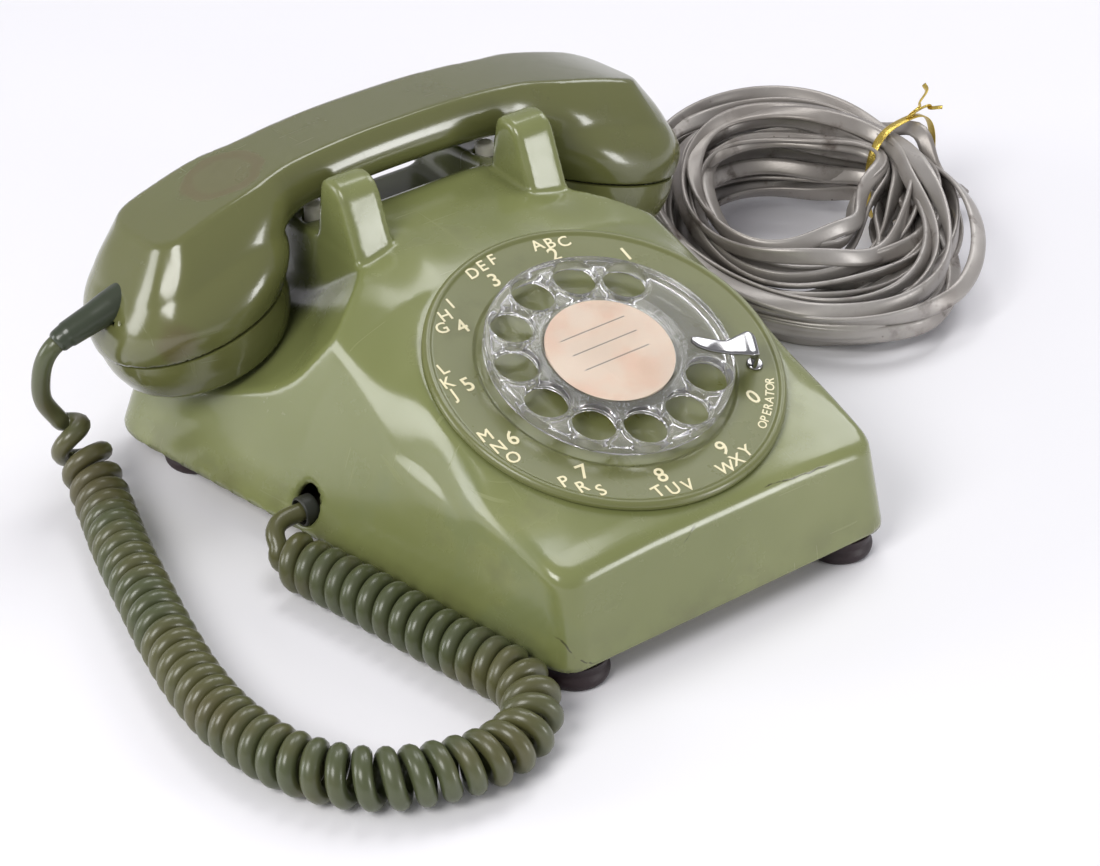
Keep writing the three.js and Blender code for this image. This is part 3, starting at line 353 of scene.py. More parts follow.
def ears(p):
    """The cradle's four ears: a front pair with a sloping face and a lower rear pair."""
    x, y, z = np.abs(p[:, 0]), p[:, 1], p[:, 2]
    sides = np.abs(x - (EAR_OUT + EAR_IN) / 2) - (EAR_OUT - EAR_IN) / 2
    lead = -0.921 * (y - BROW_Y) + 0.389 * (z - 75)
    front = smax(smax(lead, z - EAR_TOP - 0.4, 5.0), 0.985 * (y - 50.6) + 0.174 * (z - 95.4), 4.5)
    rear = smax(smax(-0.847 * (y - 88) + 0.534 * (z - 75.9), z - 87.3, 4.0), y - 99.3, 4.0)
    both = np.minimum(front, rear)
    return smax(smax(both, sides, 1.9), 60 - z, 1.0)


def casing(p):
    """The casing's shell with its dial opening, plunger holes and cord holes."""
    bulk = case_bulk(p)
    x, y, z = p[:, 0], p[:, 1], p[:, 2]
    body = smax(bulk, CASE_Z - z, 1.8)
    body = smin(body, ears(p), 1.0)
    body = smax(body, -(bulk + CASE_WALL), 0.5)
    d = into_dial(p)
    opening = smax(np.hypot(d[:, 0], d[:, 1]) - 51.6, -30 - d[:, 2], 1.0)
    body = smax(body, -opening, 0.8)
    pins = np.hypot(np.abs(x) - PIN_X, y - PIN_Y) - 3.6
    body = smax(body, -smax(pins, 60 - z, 1.0), 0.6)
    above = z - CORD_HOLE_Z
    drop = np.hypot(y - CORD_HOLE_Y, above * np.where(above > 0, 0.72, 1.0)) - 5.2
    body = smax(body, -smax(drop, x + 60, 1.0), 1.2)
    lead = np.hypot(x - LINE_HOLE_X, z - LINE_HOLE_Z) - 4.0
    return smax(body, -smax(lead, 85 - y, 1.0), 0.8)


def arch_top(x):
    return GRIP_TOP - 15 * (np.abs(x) / GRIP_END) ** 2.4


def handset_field(p):
    """The handset's body about its own middle: an arched grip that grows into a bell at each end."""
    x, y, z = np.abs(p[:, 0]), np.abs(p[:, 1]), p[:, 2]
    top = arch_top(x)
    down = top - z
    upper = GRIP_HALF + 3.3 * np.sin(np.pi / 2 * np.clip(down / CREST_DEPTH, -0.3, 1))
    lower = GRIP_WIDE * np.clip(1 - (np.clip(down - CREST_DEPTH, 0, 99) / 10.2) ** 2.3, 1e-4, 1) ** (1 / 2.3)
    wide = np.where(down < CREST_DEPTH, upper, lower)
    grip = smax((y - wide) * 0.93, down - 18.7, 5.0)
    grip = smax(grip, x - 84, 4.0)
    foot = -(x - CAP_SPREAD) * math.tan(CAP_TILT)
    t = np.clip((z - foot) / np.maximum(top - foot, 4), 0, 1.2)
    blend = t**2.05
    radius = CAP_RADIUS + 1.7 * np.sin(np.pi * np.clip(t / 0.6, 0, 1))
    end_half = 17.0
    middle = CAP_SPREAD + (GRIP_END - end_half - CAP_SPREAD) * blend
    hx, hy = radius + (end_half - radius) * blend, radius + (GRIP_HALF - radius) * blend
    power = 2 + 3.4 * np.clip(t, 0, 1) ** 1.6
    u, v = np.abs(x - middle) / hx, y / hy
    section = (u**power + v**power) ** (1 / power) - 1
    steep = np.where(x > CAP_SPREAD, 0.72, 0.8)
    bell = section * np.minimum(hx, hy) * steep
    bottom = -(z - foot) * math.cos(CAP_TILT) + 0.3
    bell = smax(bell, bottom, 0.9)
    solid = smin(bell, grip, 11.0)
    solid = smax(solid, (z - top) * 0.95, 1.0)
    solid = smax(solid, bottom - 40 * step01((56 - x) / 8), 0.6)
    axis_u = (x - CAP_SPREAD) * math.cos(CAP_TILT) - z * math.sin(CAP_TILT)
    axis_w = (x - CAP_SPREAD) * math.sin(CAP_TILT) + z * math.cos(CAP_TILT)
    bore = smax(np.hypot(axis_u, y) - 26.3, axis_w - 13, 1.5)
    return smax(solid, -bore, 0.6)


def hole_places():
    angles = (math.radians(45 + 30 * i) for i in range(10))
    return [(HOLE_RING * math.cos(a), HOLE_RING * math.sin(a)) for a in angles]


def wheel_field(p):
    """The clear finger wheel: a disc with a deeper rim and a collar round each of its ten holes."""
    r, z = np.hypot(p[:, 0], p[:, 1]), p[:, 2]
    body = smax(np.abs(z - (WHEEL_TOP - 1.5)) - 1.5, r - WHEEL_RADIUS, 0.7)
    rim = smax(np.abs(r - (WHEEL_RADIUS - 1.2)) - 1.2, np.abs(z - (WHEEL_TOP - 2.3)) - 2.3, 0.7)
    body = smin(body, rim, 0.4)
    for x, y in hole_places():
        d = np.hypot(p[:, 0] - x, p[:, 1] - y)
        collar = smax(d - (HOLE_RADIUS + 0.8), np.abs(z - (WHEEL_TOP - 1.9)) - 1.8, 0.4)
        body = smin(body, collar, 0.4)
    for x, y in hole_places():
        d = np.hypot(p[:, 0] - x, p[:, 1] - y)
        body = smax(body, -(d - HOLE_RADIUS - 0.55 * step01((z - WHEEL_TOP + 0.8) / 0.9)), 0.3)
    body = smax(body, -smax(r - 20.8, WHEEL_TOP - 1.2 - z, 0.3), 0.3)
    grooves = 0.07 * np.cos(2 * math.pi * r / 1.2) * step01((r - 21.2) / 0.5) * step01((24.8 - r) / 0.8)
    return body + grooves * step01((z - WHEEL_TOP + 1.0) / 0.6)


# ---------- finishes ----------
class Nodes:
    """Short names for building a node tree."""

    def __init__(self, tree):
        self.tree = tree

    def add(self, kind, **settings):
        node = self.tree.nodes.new("ShaderNode" + kind)
        for key, value in settings.items():
            if key.startswith("_"):
                self.put(node, key[1:], value)
            else:
                setattr(node, key, value)
        return node

    def put(self, node, label, value):
        socket = node.inputs[int(label)] if label.isdigit() else node.inputs[label]
        if isinstance(value, bpy.types.NodeSocket):
            self.tree.links.new(value, socket)
        else:
            socket.default_value = value

    def math(self, operation, a, b=0.0, clamp=False):
        node = self.add("Math", operation=operation, use_clamp=clamp, _0=a, _1=b)
        return node.outputs[0]

    def times(self, a, b, clamp=False):
        return self.math("MULTIPLY", a, b, clamp)

    def object_place(self):
        return self.add("TexCoord").outputs["Object"]

    def ramp(self, value, low, high, out_low=0.0, out_high=1.0):
        node = self.add("MapRange", interpolation_type="SMOOTHSTEP", _0=value)
        for i, v in enumerate((low, high, out_low, out_high)):
            self.put(node, str(i + 1), v)
        return node.outputs[0]

    def noise(self, place, scale, detail=4.0, rough=0.55):
        node = self.add("TexNoise", _Vector=place, _Scale=scale, _Detail=detail, _Roughness=rough)
        return node.outputs["Fac"]

    def mix(self, share, a, b, mode="MIX"):
        node = self.add("Mix", data_type="RGBA", blend_type=mode)
        for i, v in ((0, share), (6, a), (7, b)):
            self.put(node, str(i), v)
        return node.outputs[2]


def rgb(r, g, b):
    return (r, g, b, 1.0)


def wear_group():
    """Colour drift, grime, pale scuffs, fine scratches and pits that any of the surfaces can have."""
    tree = bpy.data.node_groups.new("aged_surface", "ShaderNodeTree")
    colour, number = "NodeSocketColor", "NodeSocketFloat"
    for label, kind, value in (
        ("Colour", colour, rgb(0.2, 0.2, 0.2)), ("Faded", colour, rgb(0.3, 0.3, 0.3)),
        ("Grime", colour, rgb(0.05, 0.04, 0.03)), ("Drift", number, 0.4), ("Dirt", number, 0.3),
        ("Scratches", number, 0.4), ("Gloss", number, 0.25), ("Grain", number, 0.5), ("Size", number, 1.0),
    ):
        tree.interface.new_socket(name=label, in_out="INPUT", socket_type=kind).default_value = value
    for label, kind in (("Colour", colour), ("Roughness", number), ("Height", number)):
        tree.interface.new_socket(name=label, in_out="OUTPUT", socket_type=kind)
    n = Nodes(tree)
    given = tree.nodes.new("NodeGroupInput").outputs
    out = tree.nodes.new("NodeGroupOutput")
    scaled = n.add("VectorMath", operation="SCALE", _Vector=n.object_place())
    n.put(scaled, "Scale", given["Size"])
    at = scaled.outputs[0]
    broad = n.noise(at, 11, 3)
    fade = n.times(n.ramp(broad, 0.42, 0.66), given["Drift"])
    colour = n.mix(fade, given["Colour"], given["Faded"])
    blotch = n.noise(at, 46, 6, 0.62)
    dirt = n.times(n.ramp(blotch, 0.55, 0.74), given["Dirt"])
    colour = n.mix(dirt, colour, given["Grime"])
    cells = n.add("TexVoronoi", _Vector=at, _Scale=150)
    speck = n.ramp(cells.outputs["Distance"], 0.05, 0.11, 1, 0)
    rare = n.ramp(n.noise(at, 95, 1), 0.6, 0.64)
    speck = n.times(n.times(speck, rare), given["Dirt"], clamp=True)
    colour = n.mix(speck, colour, given["Grime"])
    lines = None
    for turn, stretch in ((0.5, (34, 700, 34)), (-0.9, (600, 28, 40)), (2.2, (40, 30, 640))):
        mapped = n.add("Mapping", _Vector=at, _Rotation=(turn, 0.4 * turn, turn), _Scale=stretch)
        one = n.ramp(n.noise(mapped.outputs[0], 1.0, 1, 0.4), 0.71, 0.76)
        lines = one if lines is None else n.math("MAXIMUM", lines, one)
    lines = n.times(lines, n.ramp(n.noise(at, 27, 2), 0.5, 0.6))
    lines = n.times(lines, given["Scratches"])
    colour = n.mix(n.times(lines, 0.55), colour, given["Faded"])
    rough = n.math("ADD", given["Gloss"], n.times(n.ramp(blotch, 0.35, 0.75), 0.12))
    rough = n.math("ADD", rough, n.times(lines, 0.25))
    rough = n.math("ADD", rough, n.times(n.math("MAXIMUM", dirt, speck), 0.35), clamp=True)
    grain = n.times(n.noise(at, 620, 2), given["Grain"])
    wave = n.times(n.noise(at, 55, 2), 0.5)
    height = n.math("SUBTRACT", n.math("ADD", grain, wave), n.times(lines, 0.35))
    height = n.math("SUBTRACT", height, n.times(speck, 0.5))
    for label, value in (("Colour", colour), ("Roughness", rough), ("Height", height)):
        tree.links.new(value, out.inputs[label])
    return tree


AGED = wear_group()


def new_material(name):
    mat = bpy.data.materials.new(name)
    mat.use_nodes = True
    return mat, Nodes(mat.node_tree), mat.node_tree.nodes["Principled BSDF"]


def finish(name, colour, faded, grime, drift=0.4, dirt=0.25, scratches=0.3, gloss=0.3, grain=0.4, size=1.0,
           metal=0.0, coat=0.0, bump=0.12, change=None):
    """A material from the shared ageing group. change may alter its colour, roughness and height further."""
    mat, n, shader = new_material(name)
    aged = n.add("Group")
    aged.node_tree = AGED
    values = (rgb(*colour), rgb(*faded), rgb(*grime), drift, dirt, scratches, gloss, grain, size)
    for socket, value in zip(aged.inputs, values):
        socket.default_value = value
    parts = [aged.outputs["Colour"], aged.outputs["Roughness"], aged.outputs["Height"]]
    if change is not None:
        parts = change(n, *parts)
    n.put(shader, "Base Color", parts[0])
    n.put(shader, "Roughness", parts[1])
    relief = n.add("Bump", _Strength=bump, _Distance=0.0004, _Height=parts[2])
    n.put(shader, "Normal", relief.outputs[0])
    for label, value in (("Metallic", metal), ("Coat Weight", coat), ("Coat Roughness", 0.12)):
        shader.inputs[label].default_value = value
    return mat


def crack(n, at, start, end, width, wander, facing):
    """A thin dark line between two points, seen along facing, which wanders with the noise."""
    flat = [1 - abs(v) for v in facing]
    at = n.add("VectorMath", operation="MULTIPLY", _0=at, _1=flat).outputs[0]
    start, end = (Vector(a * b for a, b in zip(v, flat)) for v in (start, end))
    along = (end - start).normalized()
    shift = n.add("VectorMath", operation="SUBTRACT", _0=at, _1=start)
    rough = n.add("TexNoise", _Vector=at, _Scale=160.0, _Detail=3.0)
    centred = n.add("VectorMath", operation="SUBTRACT", _0=rough.outputs["Color"], _1=(0.5, 0.5, 0.5))
    bent = n.add("VectorMath", operation="MULTIPLY_ADD", _0=centred.outputs[0], _1=(wander,) * 3,
                 _2=shift.outputs[0])
    dot = n.add("VectorMath", operation="DOT_PRODUCT", _0=bent.outputs[0], _1=along).outputs["Value"]
    long = (end - start).length
    inside = n.times(n.ramp(dot, -0.001, 0.001), n.ramp(dot, long - 0.003, long, 1, 0))
    foot = n.add("VectorMath", operation="SCALE", _Vector=along)
    n.put(foot, "Scale", dot)
    away = n.add("VectorMath", operation="DISTANCE", _0=bent.outputs[0], _1=foot.outputs[0]).outputs["Value"]
    return n.times(n.ramp(away, width * 0.5, width, 1, 0), inside)


def casing_change(n, colour, rough, height):
    """Cracks at the front edge, a dirty foot, rubbed paint on the left and painted shade in the recesses."""
    at = n.object_place()
    xyz = n.add("SeparateXYZ", _0=at).outputs
    for start, end, width, wander in (
        ((-0.0605, -0.103, 0.0200), (-0.0570, -0.103, 0.0125), 0.00045, 0.004),
        ((-0.0575, -0.103, 0.0132), (-0.0500, -0.103, 0.0100), 0.00040, 0.004),
        ((0.016, -0.0975, 0.0395), (0.046, -0.0975, 0.0372), 0.00028, 0.002),
        ((-0.016, -0.0985, 0.0345), (-0.010, -0.097, 0.0385), 0.00055, 0.003),
    ):
        line = crack(n, at, start, end, width, wander, (0, 1, 0))
        line = n.times(line, n.ramp(xyz["Y"], -0.085, -0.09))
        colour = n.mix(n.times(line, 0.75), colour, rgb(0.035, 0.03, 0.015))
        height = n.math("SUBTRACT", height, n.times(line, 2.5))
    low = n.times(n.ramp(xyz["Z"], 0.009, 0.024, 1, 0), n.ramp(n.noise(at, 70, 5), 0.38, 0.7))
    colour = n.mix(n.times(low, 0.3), colour, rgb(0.07, 0.06, 0.03))
    rubbed = n.times(n.ramp(xyz["X"], -0.04, -0.06), n.ramp(n.noise(at, 38, 5), 0.46, 0.6))
    for axis, low, high in (("Z", 0.065, 0.05), ("Y", 0.0, -0.03)):
        rubbed = n.times(rubbed, n.ramp(xyz[axis], low, high))
    colour = n.mix(n.times(rubbed, 0.35), colour, rgb(0.155, 0.185, 0.088))
    # painted shade: the hand hold under the handset is darkened by position
    aside = n.math("ABSOLUTE", xyz["X"])
    hold = n.times(n.ramp(xyz["Y"], 0.050, 0.062), n.ramp(aside, 0.024, 0.030, 1, 0))
    # painted shade: the wells beside the ears are darkened by position
    well_shade = n.times(n.ramp(aside, 0.0395, 0.043), n.ramp(xyz["Y"], 0.040, 0.056))
    well_shade = n.times(well_shade, n.ramp(xyz["Z"], 0.028, 0.048))
    colour = n.mix(n.times(hold, 0.8), colour, rgb(0.018, 0.02, 0.010))
    colour = n.mix(n.times(well_shade, 0.55), colour, rgb(0.03, 0.034, 0.016))
    return colour, rough, height


def from_spot(n, at, spot, scale, wander):
    """The distance from a point, which wanders with the noise."""
    away = n.add("VectorMath", operation="DISTANCE", _0=at, _1=spot).outputs["Value"]
    return n.math("ADD", away, n.times(n.math("SUBTRACT", n.noise(at, scale, 4), 0.5), wander))


def handset_change(n, colour, rough, height):
    """A ring-shaped stain on the grip and a rubbed patch by the cord's boot."""
    at = n.object_place()
    edge = from_spot(n, at, (-0.0595, 0.0755, 0.0945), 120, 0.006)
    ring = n.times(n.ramp(edge, 0.0085, 0.0105), n.ramp(edge, 0.0125, 0.0145, 1, 0))
    stain = n.math("ADD", n.times(n.ramp(edge, 0.012, 0.0145, 1, 0), 0.2), n.times(ring, 0.25))
    colour = n.mix(stain, colour, rgb(0.13, 0.085, 0.04))
    rough = n.math("ADD", rough, n.times(stain, 0.5), clamp=True)
    bare = n.ramp(from_spot(n, at, (-0.0985, 0.0425, 0.0605), 90, 0.012), 0.005, 0.010, 1, 0)
    colour = n.mix(n.times(bare, 0.35), colour, rgb(0.1, 0.055, 0.035))
    return colour, rough, height


GREEN = (0.178, 0.198, 0.07)
FADED_GREEN = (0.262, 0.28, 0.12)
GRIME = (0.045, 0.035, 0.02)

casing_finish = finish("casing_green", GREEN, FADED_GREEN, GRIME, drift=0.5, dirt=0.18, scratches=0.5,
                       gloss=0.2, grain=0.25, coat=0.35, bump=0.1, change=casing_change)
handset_finish = finish("handset_green", (0.122, 0.128, 0.043), (0.155, 0.163, 0.066), GRIME, drift=0.45,
                        dirt=0.14, scratches=0.35, gloss=0.16, grain=0.2, coat=0.5, bump=0.08,
                        change=handset_change)
plate_finish = finish("number_plate_green", (0.146, 0.156, 0.054), (0.18, 0.192, 0.078), GRIME, drift=0.4,
                      dirt=0.2, scratches=0.3, gloss=0.27, grain=0.3, coat=0.2)
letter_finish = finish("dial_letters", (0.83, 0.76, 0.5), (0.9, 0.85, 0.64), (0.3, 0.26, 0.13), drift=0.5,
                       dirt=0.3, scratches=0.0, gloss=0.5, grain=0.3)
foot_finish = finish("foot_rubber", (0.012, 0.004, 0.006), (0.03, 0.012, 0.014), (0.02, 0.018, 0.015),
                     drift=0.5, dirt=0.5, scratches=0.3, gloss=0.5, grain=0.8, bump=0.3)
rubber_finish = finish("black_rubber", (0.022, 0.024, 0.018), (0.05, 0.05, 0.04), GRIME, drift=0.5, dirt=0.4,
                       gloss=0.42, grain=0.7, bump=0.25)
boot_finish = finish("cord_boot_rubber", (0.035, 0.045, 0.026), (0.07, 0.08, 0.05), GRIME, drift=0.5, dirt=0.3,
                     gloss=0.3, grain=0.4, coat=0.2)
plunger_finish = finish("plunger_plastic", (0.72, 0.7, 0.6), (0.8, 0.78, 0.7), (0.3, 0.26, 0.18),
                        gloss=0.25)
chrome_finish = finish("bright_steel", (0.36, 0.355, 0.36), (0.45, 0.45, 0.46), (0.3, 0.27, 0.24), drift=0.3,
                       dirt=0.25, scratches=0.6, gloss=0.13, grain=0.1, metal=1.0, size=1.6)
steel_finish = finish("plain_steel", (0.5, 0.5, 0.49), (0.6, 0.6, 0.58), (0.14, 0.1, 0.07), dirt=0.3,
                      scratches=0.6, gloss=0.33, metal=1.0)
zinc_finish = finish("passivated_zinc", (0.52, 0.5, 0.36), (0.62, 0.58, 0.42), (0.2, 0.15, 0.09), drift=0.7,
                     dirt=0.4, scratches=0.5, gloss=0.36, metal=1.0)
brass_finish = finish("gong_brass", (0.6, 0.42, 0.17), (0.68, 0.52, 0.26), (0.16, 0.09, 0.04), dirt=0.35,
                      scratches=0.4, gloss=0.26, metal=1.0)
copper_finish = finish("coil_windings", (0.36, 0.13, 0.06), (0.5, 0.2, 0.1), GRIME, gloss=0.35, metal=0.6,
                       grain=0.8, bump=0.3)
bakelite_finish = finish("dark_bakelite", (0.035, 0.032, 0.028), (0.06, 0.055, 0.05), (0.1, 0.09, 0.08),
                         gloss=0.35, grain=0.6)
wheel_knob_finish = finish("black_plastic", (0.02, 0.02, 0.02), (0.05, 0.05, 0.05), (0.1, 0.09, 0.08),
                           gloss=0.4)
tie_finish = finish("gold_tie", (0.62, 0.46, 0.1), (0.75, 0.6, 0.2), (0.2, 0.14, 0.04), gloss=0.25, metal=0.8,
                    grain=0.9, bump=0.5, size=2.0)


def clear_finish(name, tint, gloss, ior, through=1.0):
    """A clear plastic that is a little hazy and uneven."""
    mat, n, shader = new_material(name)
    at = n.object_place()
    haze = n.ramp(n.noise(at, 90, 5), 0.4, 0.75, gloss, gloss + 0.1)
    n.put(shader, "Roughness", haze)
    darker = tuple(0.93 * c for c in tint[:3]) + (1,)
    n.put(shader, "Base Color", n.mix(n.ramp(n.noise(at, 35, 4), 0.3, 0.7), tint, darker))
    relief = n.add("Bump", _Strength=0.03, _Distance=0.0002, _Height=n.noise(at, 260, 3))
    n.put(shader, "Normal", relief.outputs[0])
    shader.inputs["IOR"].default_value = ior
    shader.inputs["Transmission Weight"].default_value = through
    return mat


clear_plastic = clear_finish("clear_wheel_plastic", rgb(0.9, 0.89, 0.9), 0.05, 1.38, 0.92)
clear_card_plastic = clear_finish("clear_card_plastic", rgb(0.97, 0.97, 0.97), 0.02, 1.12)


def card_change(n, colour, rough, height):
    """Paler patches and three ruled lines."""
    at = n.object_place()
    xyz = n.add("SeparateXYZ", _0=at).outputs
    pale = n.ramp(n.noise(at, 60, 4), 0.4, 0.62)
    colour = n.mix(n.times(pale, 0.6), colour, rgb(0.93, 0.82, 0.68))
    rules = None
    for y in (-0.0465, -0.0405, -0.0345):
        off = n.math("ABSOLUTE", n.math("SUBTRACT", xyz["Y"], y))
        one = n.ramp(off, 0.00012, 0.00026, 1, 0)
        rules = one if rules is None else n.math("MAXIMUM", rules, one)
    within = n.ramp(n.math("ABSOLUTE", xyz["X"]), 0.0118, 0.012, 1, 0)
    colour = n.mix(n.times(n.times(rules, within), 0.7), colour, rgb(0.12, 0.11, 0.1))
    return colour, rough, height


card_finish = finish("number_card_paper", (0.86, 0.62, 0.47), (0.92, 0.74, 0.6), (0.5, 0.33, 0.2), drift=0.6,
                     dirt=0.25, scratches=0.1, gloss=0.7, grain=0.8, change=card_change)


def cord_change(low, high):
    """Grimy streaks along a cord, and patches of a second colour."""
    def change(n, colour, rough, height):
        at = n.object_place()
        streak = n.ramp(n.noise(at, 30, 3), 0.42, 0.62)
        colour = n.mix(n.times(streak, 0.75), colour, low)
        patch = n.ramp(n.noise(at, 12, 2), 0.5, 0.68)
        colour = n.mix(n.times(patch, 0.6), colour, high)
        return colour, rough, height
    return change


curly_finish = finish("curly_cord_vinyl", (0.07, 0.082, 0.036), (0.11, 0.125, 0.062), (0.05, 0.035, 0.018),
                      drift=0.5, dirt=0.45, scratches=0.2, gloss=0.3, grain=0.4, coat=0.15,
                      change=cord_change(rgb(0.098, 0.092, 0.034), rgb(0.082, 0.066, 0.027)))
line_finish = finish("flat_cord_satin", (0.31, 0.285, 0.262), (0.56, 0.53, 0.5), (0.045, 0.022, 0.012),
                     drift=0.6, dirt=1.0, scratches=0.4, gloss=0.36, grain=0.6, metal=0.4, coat=0.1, size=1.4,
                     change=cord_change(rgb(0.23, 0.205, 0.185), rgb(0.42, 0.4, 0.38)))


# ---------- camera, floor and light ----------
CAMERA_AT = Vector((-0.46577, -0.64398, 0.54536))
CAMERA_AZ, CAMERA_EL, CAMERA_ROLL = math.radians(-36.418), math.radians(33.780), math.radians(-0.598)


def make_camera():
    data = bpy.data.cameras.new("studio_camera")
    data.sensor_width = 36.0
    data.lens = 99.14
    data.clip_start, data.clip_end = 0.02, 20
    camera = new_object("studio_camera", data)
    az, el, roll = CAMERA_AZ, CAMERA_EL, CAMERA_ROLL
    back = Vector((math.sin(az) * math.cos(el), -math.cos(az) * math.cos(el), math.sin(el)))
    right = (-back).cross(Vector((0, 0, 1))).normalized()
    up = right.cross(-back)
    across = math.cos(roll) * right + math.sin(roll) * up
    upward = -math.sin(roll) * right + math.cos(roll) * up
    place = Matrix((across, upward, back)).transposed().to_4x4()
    place.translation = CAMERA_AT
    camera.matrix_world = place
    bpy.context.scene.camera = camera


def soft_light(name, at, towards, size, power, colour=(1, 1, 1), size_y=None):
    data = bpy.data.lights.new(name, "AREA")
    data.shape = "RECTANGLE"
    data.size, data.size_y = size, size_y or size
    data.energy = power
    data.color = colour
    lamp = new_object(name, data)
    lamp.location = at
    lamp.rotation_mode = "QUATERNION"
    lamp.rotation_quaternion = (Vector(towards) - Vector(at)).to_track_quat("-Z", "Y")


def make_studio():
    mat, n, shader = new_material("pale_floor")
    at = n.object_place()
    n.put(shader, "Base Color", n.mix(n.noise(at, 3, 3), rgb(0.86, 0.85, 0.89), rgb(0.89, 0.885, 0.91)))
    shader.inputs["Roughness"].default_value = 0.62
    size, far, high, bend = 3.2, 2.2, 2.4, 0.9
    rows = [(-size, 0.0), (0.6, 0.0), (far - bend, 0.0)]
    for a in np.linspace(0.15, math.pi / 2, 10):
        rows.append((far - bend + bend * math.sin(a), bend - bend * math.cos(a)))
    rows.append((far, high))
    points = [(x / MM, y / MM, z / MM) for y, z in rows for x in (-size, size)]
    faces = [(2 * i, 2 * i + 1, 2 * i + 3, 2 * i + 2) for i in range(len(rows) - 1)]
    floor = piece("studio_floor", points, faces, mat)
    soft_light("key_softbox", (-1.0, -0.35, 1.0), (0.0, 0.0, 0.03), 0.6, 11.5, (1, 0.99, 0.97))
    soft_light("right_softbox", (1.1, 0.25, 1.0), (0.02, -0.02, 0.03), 0.6, 4.6, (0.98, 0.99, 1))
    soft_light("top_softbox", (0.45, 0.45, 1.45), (0.0, 0.02, 0.03), 0.6, 5.5)
    soft_light("low_strip", (0.74, -1.3, 0.26), (0.0, 0.03, 0.08), 0.34, 6, (1, 1, 1), 0.5)
    soft_light("left_strip", (-1.1, 0.65, 0.38), (0.0, 0.0, 0.04), 0.45, 5, (1, 1, 1), 0.6)
    world = bpy.data.worlds.new("studio_air")
    bpy.context.scene.world = world
    world.use_nodes = True
    sky = world.node_tree.nodes["Background"]
    sky.inputs["Color"].default_value = (0.96, 0.95, 1.0, 1)
    sky.inputs["Strength"].default_value = 0.4
    bpy.context.scene.view_settings.view_transform = "Standard"


make_camera()
make_studio()

# ---------- handset cord ----------
TAIL_ROUTE = [
    (-121.7, 73.5, 57.8), (-123.7, 73.8, 56.6), (-126.4, 75, 52), (-127.6, 76.8, 44), (-126.8, 78.6, 36),
    (-123.6, 79.4, 29.5), (-120.6, 77.6, 24.4),
]
COIL_ROUTE = [
    (-119.4, 73, 19.6), (-120.6, 62, 12.6), (-123.6, 50, 9.5), (-129.7, 31, 9.5), (-136, 7.2, 9.5),
    (-142.3, -18.3, 9.5), (-147, -43.8, 9.5), (-147.7, -66, 9.5), (-142.3, -88.6, 9.5), (-130.3, -105.1, 9.5),
    (-113.5, -114.3, 9.5),
    (-95.5, -117.3, 9.5), (-81, -112, 9.5), (-73.5, -98.6, 9.5), (-75.8, -80.9, 9.5), (-79.4, -63.9, 9.5),
    (-83, -45.6, 9.5), (-87.2, -26, 9.5), (-91.6, -9, 9.5), (-93.2, -3.4, 9.5),
]
LEAD_ROUTE = [(-93.2, 0.2, 12.6), (-91.9, 3, 14.4), (-88.4, 4.7, 15.4), (-80.0, 4.8, 15.6)]
CORD_RADIUS = 2.95
COIL_MEAN = 6.15
COIL_PITCH = 6.35


def curly_path():
    """The handset cord's own middle line: straight ends and a helix about the route between them."""
    line = evenly(softened(smooth_path(TAIL_ROUTE + COIL_ROUTE + LEAD_ROUTE, 0.5), 12), 0.5)
    run = np.arange(len(line)) * 0.5
    nearest = lambda point: run[int(np.argmin(np.linalg.norm(line - np.array(point), axis=1)))]
    start, end = nearest(TAIL_ROUTE[-1]) - 4, nearest(COIL_ROUTE[-1]) + 3
    along = unit(np.gradient(line, axis=0))
    bend = np.linalg.norm(np.gradient(along, axis=0), axis=1) / 0.5
    bend = np.convolve(bend, np.ones(31) / 31, mode="same")
    inner = np.clip(1 - COIL_MEAN * bend, 0.5, 1)
    pitch = np.maximum(COIL_PITCH, 5.9 / inner * 0.98)
    pitch *= 1 + 0.06 * np.sin(run / 17.0) + 0.45 * np.exp(-((run - start - 6) / 16) ** 2)
    radius = COIL_MEAN * step01((run - start) / 9) * step01((end - run) / 7)
    turn = np.cumsum(np.where((run > start - 2) & (run < end + 2), 2 * math.pi / pitch, 0) * 0.5)
    side = unit(np.cross(along, (0.12, 0.1, 1.0)))
    other = np.cross(side, along)
    fine_run = []
    at = 0.0
    while at < run[-1]:
        fine_run.append(at)
        at += 0.21 if start - 1 < at < end + 1 else 1.0
    fine_run = np.array(fine_run + [run[-1]])
    pick = lambda a: np.stack([np.interp(fine_run, run, a[:, i]) for i in range(3)], 1)
    angle = np.interp(fine_run, run, turn) + 1.0
    grow = np.interp(fine_run, run, radius)
    return pick(line) + grow[:, None] * (
        pick(side) * np.cos(angle)[:, None] - pick(other) * np.sin(angle)[:, None]
    )


curly = evenly(curly_path(), 1.25)
curly_cord = piece("handset_cord", *swept(curly, circle(CORD_RADIUS, 12)), curly_finish)
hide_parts("handset_cord_tail", "handset_cord_coil", "handset_cord_lead")
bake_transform(curly_cord)

# ---------- line cord ----------
LINE_ROUTE = [
    (60, 94, 15), (60, 99.4, 15), (61, 105, 11), (64, 111, 5.6), (72, 117, 3.2), (85, 118, 3.2), (97, 114, 3.2),
    (105, 107.5, 3.2), (110, 101, 3.2),
]
BUNDLE_X, BUNDLE_Y, BUNDLE_STRETCH = 155.0, 43.0, 1.13
TIE_ANGLE = math.radians(6)
TURNS = 27
LINE_WIDTH, LINE_THICK = 6.0, 1.8


def past_tie(angle):
    """How far an angle about the bundle's middle is past the tie's, from minus to plus half a turn."""
    return (angle - TIE_ANGLE + math.pi) % (2 * math.pi) - math.pi


